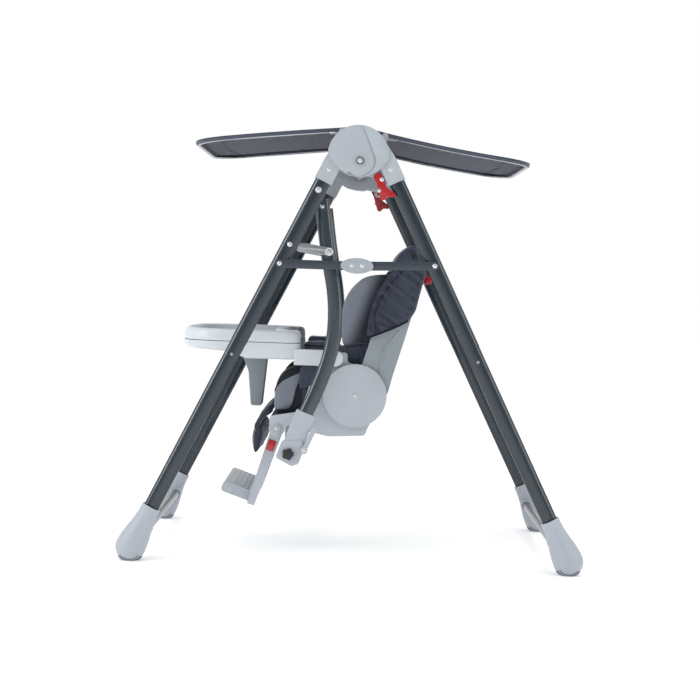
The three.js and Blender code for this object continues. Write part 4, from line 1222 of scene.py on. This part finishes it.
def canopy(part):
    rows, columns = 44, 48
    top, under = [], []
    reach = LENGTH[part] - 1.0
    for i in range(rows + 1):
        t = i / rows
        d = 0.8 + (reach - 0.8) * (1 - (1 - t) ** 1.35)
        w = half_width(part, d, 1.0)
        for j in range(columns + 1):
            u = -1 + 2 * j / columns
            u = math.copysign(abs(u) ** 0.92, u)
            x = u * w
            slack = sag(u, d / reach)
            pull = 0.5 * math.sin(d / 17 + 3 * u) * math.exp(-((1 - abs(u)) * 9) ** 2)
            wave = 0.5 * noise.noise(Vector((x / 70, d / 90, 4.0 if part == "front" else 9.0)))
            low = 0.5 + max(0.0, slack * 0.75 + pull + wave)
            top.append(canopy_point(part, x, d, low))
            under.append(canopy_point(part, x, d, low + 1.3))
    stride, count = columns + 1, len(top)
    faces = []
    for i in range(rows):
        for j in range(columns):
            a = i * stride + j
            faces.append((a, a + 1, a + 1 + stride, a + stride))
            faces.append(tuple(count + k for k in (a, a + stride, a + 1 + stride, a + 1)))
    rim = (list(range(stride)) + [i * stride + columns for i in range(1, rows + 1)]
           + [rows * stride + j for j in range(columns - 1, -1, -1)]
           + [i * stride for i in range(rows - 1, 0, -1)])
    faces += [(a, b, count + b, count + a) for a, b in zip(rim, rim[1:] + rim[:1])]
    sheet = new_object(f"canopy_{part}_cloth", mesh_from(f"canopy_{part}_cloth", top + under, faces))
    smooth(sheet.data, 50)
    body = f"canopy_{part}"
    finish(sheet, body, "canopy_fabric", "canopy", replaces=(f"canopy_{part}_sheet",))
    # the binding wraps the wire and the edge of the cloth
    edge = [canopy_point(part, x, d, 4.9) for x, d in canopy_edge(part, 5.2)]
    hem = tube(f"canopy_{part}_hem", eased(edge, 1), 0.0049, 12, up=Vector((0, 0, 1)))
    finish(hem, body, "canopy_fabric", "hem")
    lines = [tube("a", [canopy_point(part, x, d, 3.0) for x, d in canopy_edge(part, 15)], 0.0009, 6)]
    reach_in = LENGTH[part] - 66
    bow = []
    for k in range(41):
        u = -1 + 2 * k / 40
        d = reach_in + 16 * (1 - u * u) - 8
        bow.append((u * (HALF - 17), d))

    def lowered(x, d):
        u = abs(x) / max(half_width(part, d), 1)
        return canopy_point(part, x, d, 2.1 + sag(u, d / reach) * 0.75)

    lines.append(tube("b", [lowered(x, d) for x, d in bow], 0.0010, 6))
    lines.append(tube("c", [lowered(x, d + 5) for x, d in bow], 0.0008, 6))
    seam = joined(f"canopy_{part}_seams", lines)
    finish(seam, body, "canopy_fabric", "thread")
    tags = []
    for _, sign in SIDES:
        x0, d0 = sign * (HALF - 60), LENGTH[part] - 92
        x1, d1 = x0 - sign * 16, d0 + 11
        ring = [lowered(x0, d0), lowered(x1, d0), lowered(x1, d1), lowered(x0, d1)]
        below = [p - Vector((0, 0, 0.0012)) for p in ring]
        tags.append(new_object("t", rings_to_mesh("t", [[p + Vector((0, 0, 0.0004)) for p in ring], below])))
    label = joined(f"canopy_{part}_tags", tags)
    finish(label, body, "canopy_fabric", "label")


def foot_plate():
    """The moulded foot plate: rolled ends with ribs along its top and round its ends."""
    refine("foot_plate", "plate", 8.5, 6)
    plate = bpy.data.objects["foot_plate_finished"]
    tree = tree_of(plate)
    lo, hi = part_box("foot_plate")
    middle = (Vector(lo) + Vector(hi)) / 2
    tilt = math.radians(19)
    along = Vector((0, -math.cos(tilt), math.sin(tilt)))
    normal = Vector((0, math.sin(tilt), math.cos(tilt)))
    ribs = []
    for step in (-24, -12, 0, 12, 24):
        path = [middle + along * (step / 1000) + normal * 0.03 + Vector((x / 1000, 0, 0))
                for x in range(-128, 129, 8)]
        ribs.append(tube("rib", dropped(tree, path, -normal, -0.6), 0.0026, 8))
    for sign in (-1, 1):
        for step in (-5.5, 5.5):
            path = [Vector((sign * 0.2, 0, 0)) + Vector((0, middle.y, middle.z)) + along * (k / 1000)
                    + normal * (step / 1000) for k in range(-27, 28, 3)]
            ribs.append(tube("rib", dropped(tree, path, (-sign, 0, 0), -0.5), 0.0022, 8))
    finish(joined("foot_plate_ribs", ribs), body_of["foot_plate"], slot_of["foot_plate"], "plate")


def shell_ribs():
    """Raised ribs on the cheeks of the backrest shell."""
    tree = tree_of(bpy.data.objects["backrest_shell_finished"])
    ribs = []
    for _, sign in SIDES:
        for line in ([(60, 58), (60, 84), (68, 112), (84, 138), (104, 162)],
                     [(120, 44), (128, 92), (146, 160), (152, 190)]):
            on = side_line(tree, line, sign, 40, -0.4)
            if len(on) > 6:
                ribs.append(tube("rib", on, 0.0027, 8))
    finish(joined("back_shell_ribs", ribs), "backrest", slot_of["backrest_shell"], "back")


def plunger_rings():
    """A light ring round the end of each lock plunger."""
    for side, sign in SIDES:
        lo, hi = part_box(f"lock_plunger_{side}")
        face = hi.x if sign > 0 else lo.x
        y, z = (lo.y + hi.y) / 2, (lo.z + hi.z) / 2
        radius = 0.0078
        circle = [Vector((face - sign * 0.0011, y + radius * math.cos(a), z + radius * math.sin(a)))
                  for a in turn(40)]
        ring = tube(f"plunger_ring_{side}", circle, 0.0014, 10, closed=True, up=Vector((1, 0, 0)))
        finish(ring, f"lock_pin_{side}", slot_of[f"lock_plunger_{side}"], "white")


foot_plate()
shell_ribs()
plunger_rings()
seat_cushion()
# the cover's side flap, gathered over the top of the seat base
loose_cloth("seat_side_flap", "swing_seat",
            [(-136, 12), (-118, 16), (-101, 22), (-86, 34), (-82, 52), (-84, 68), (-100, 70), (-118, 71),
             (-134, 67), (-139, 40)],
            0.1745, 0.1812, 0.003, 1.8, 2, 0.016, 2.4, 5.0, (1, 0.6, 1.3))
back_cushion()
# the lining that hangs from the wing down behind the armrest
loose_cloth("lining_skirt", "backrest",
            [(-36, 122), (-12, 121), (14, 122), (44, 121), (52, 102), (50, 74), (46, 46), (20, 44), (4, 52),
             (-10, 62), (-22, 78), (-34, 106)],
            0.152, 0.161, 0.004, 2.2, 3, 0.02, 3.4, 11.0, (1, 1.6, 0.5))
head_cover()
leg_rest()
canopy("front")
canopy("rear")


# ------------------------------------------------------------------ stage, light and camera

FAR = 60  # metres to the floor's edges
corners = [(-FAR, -FAR, 0), (FAR, -FAR, 0), (FAR, FAR, 0), (-FAR, FAR, 0)]
floor = new_object("floor", mesh_from("floor", corners, [(0, 1, 2, 3)]))
paper = Shader("floor paper")
paper.colour(paper.mix(paper.noise(3.0, 3.0), (0.93, 0.93, 0.93), (0.95, 0.95, 0.95)))
paper.set(Roughness=0.9, Specular_IOR_Level=0.1, Emission_Color=(1, 1, 1, 1), Emission_Strength=0.2)
floor.data.materials.append(paper.mat)

# the studio's walls light the object, brighter behind and at the sides than in front; the camera
# itself sees plain white
world = bpy.data.worlds.new("studio")
scene.world = world
world.use_nodes = True
made = world.node_tree.nodes
sky, out = made["Background"], made["World Output"]
kinds = ("Background", "TexCoord", "SeparateXYZ", "MapRange", "LightPath", "MixShader")
backdrop, place, axes, wall, seen, both = (made.new("ShaderNode" + kind) for kind in kinds)
for node in (sky, backdrop):
    node.inputs["Color"].default_value = (1.0, 1.0, 1.0, 1)
for slot, number in (("From Min", 0.2), ("From Max", 0.95), ("To Min", 0.95), ("To Max", 0.38)):
    wall.inputs[slot].default_value = number
for a, b in ((place.outputs["Generated"], axes.inputs[0]), (axes.outputs[0], wall.inputs["Value"]),
             (wall.outputs["Result"], sky.inputs["Strength"]),
             (seen.outputs["Is Camera Ray"], both.inputs[0]), (sky.outputs[0], both.inputs[1]),
             (backdrop.outputs[0], both.inputs[2]), (both.outputs[0], out.inputs[0])):
    world.node_tree.links.new(a, b)


def softbox(name, place, target, size, watts):
    light = bpy.data.lights.new(name, "AREA")
    light.shape = "RECTANGLE"
    light.size, light.size_y = size
    light.energy = watts
    obj = new_object(name, light)
    obj.location = place
    aim = Vector(target) - Vector(place)
    obj.rotation_euler = aim.to_track_quat("-Z", "Y").to_euler()
    return obj


softbox("key light", (2.0, -2.9, 1.9), (0, 0, 0.6), (0.9, 2.4), 48)
softbox("fill light", (2.2, 2.9, 1.5), (0, 0, 0.6), (0.9, 2.4), 22)
softbox("top light", (0.2, 0.0, 3.2), (0, 0, 0.5), (2.6, 2.6), 34)

camera_data = bpy.data.cameras.new("camera")
camera_data.sensor_width = 36
camera_data.lens = 80.412
camera_data.dof.use_dof = False
camera = new_object("camera", camera_data)
# on the left, 4 m away, looking at the swing's side and a little down, with the picture's slight roll
heading, pitch, roll = (math.radians(a) for a in (-179.7688, -2.8291, 1.9931))
look = Vector((math.cos(pitch) * math.cos(heading), math.cos(pitch) * math.sin(heading), math.sin(pitch)))
camera.matrix_world = (Matrix.Translation((4.010, 0.0, 0.700))
                       @ look.to_track_quat("-Z", "Y").to_matrix().to_4x4()
                       @ Matrix.Rotation(roll, 4, "Z"))
scene.camera = camera
scene.view_settings.view_transform = "Standard"
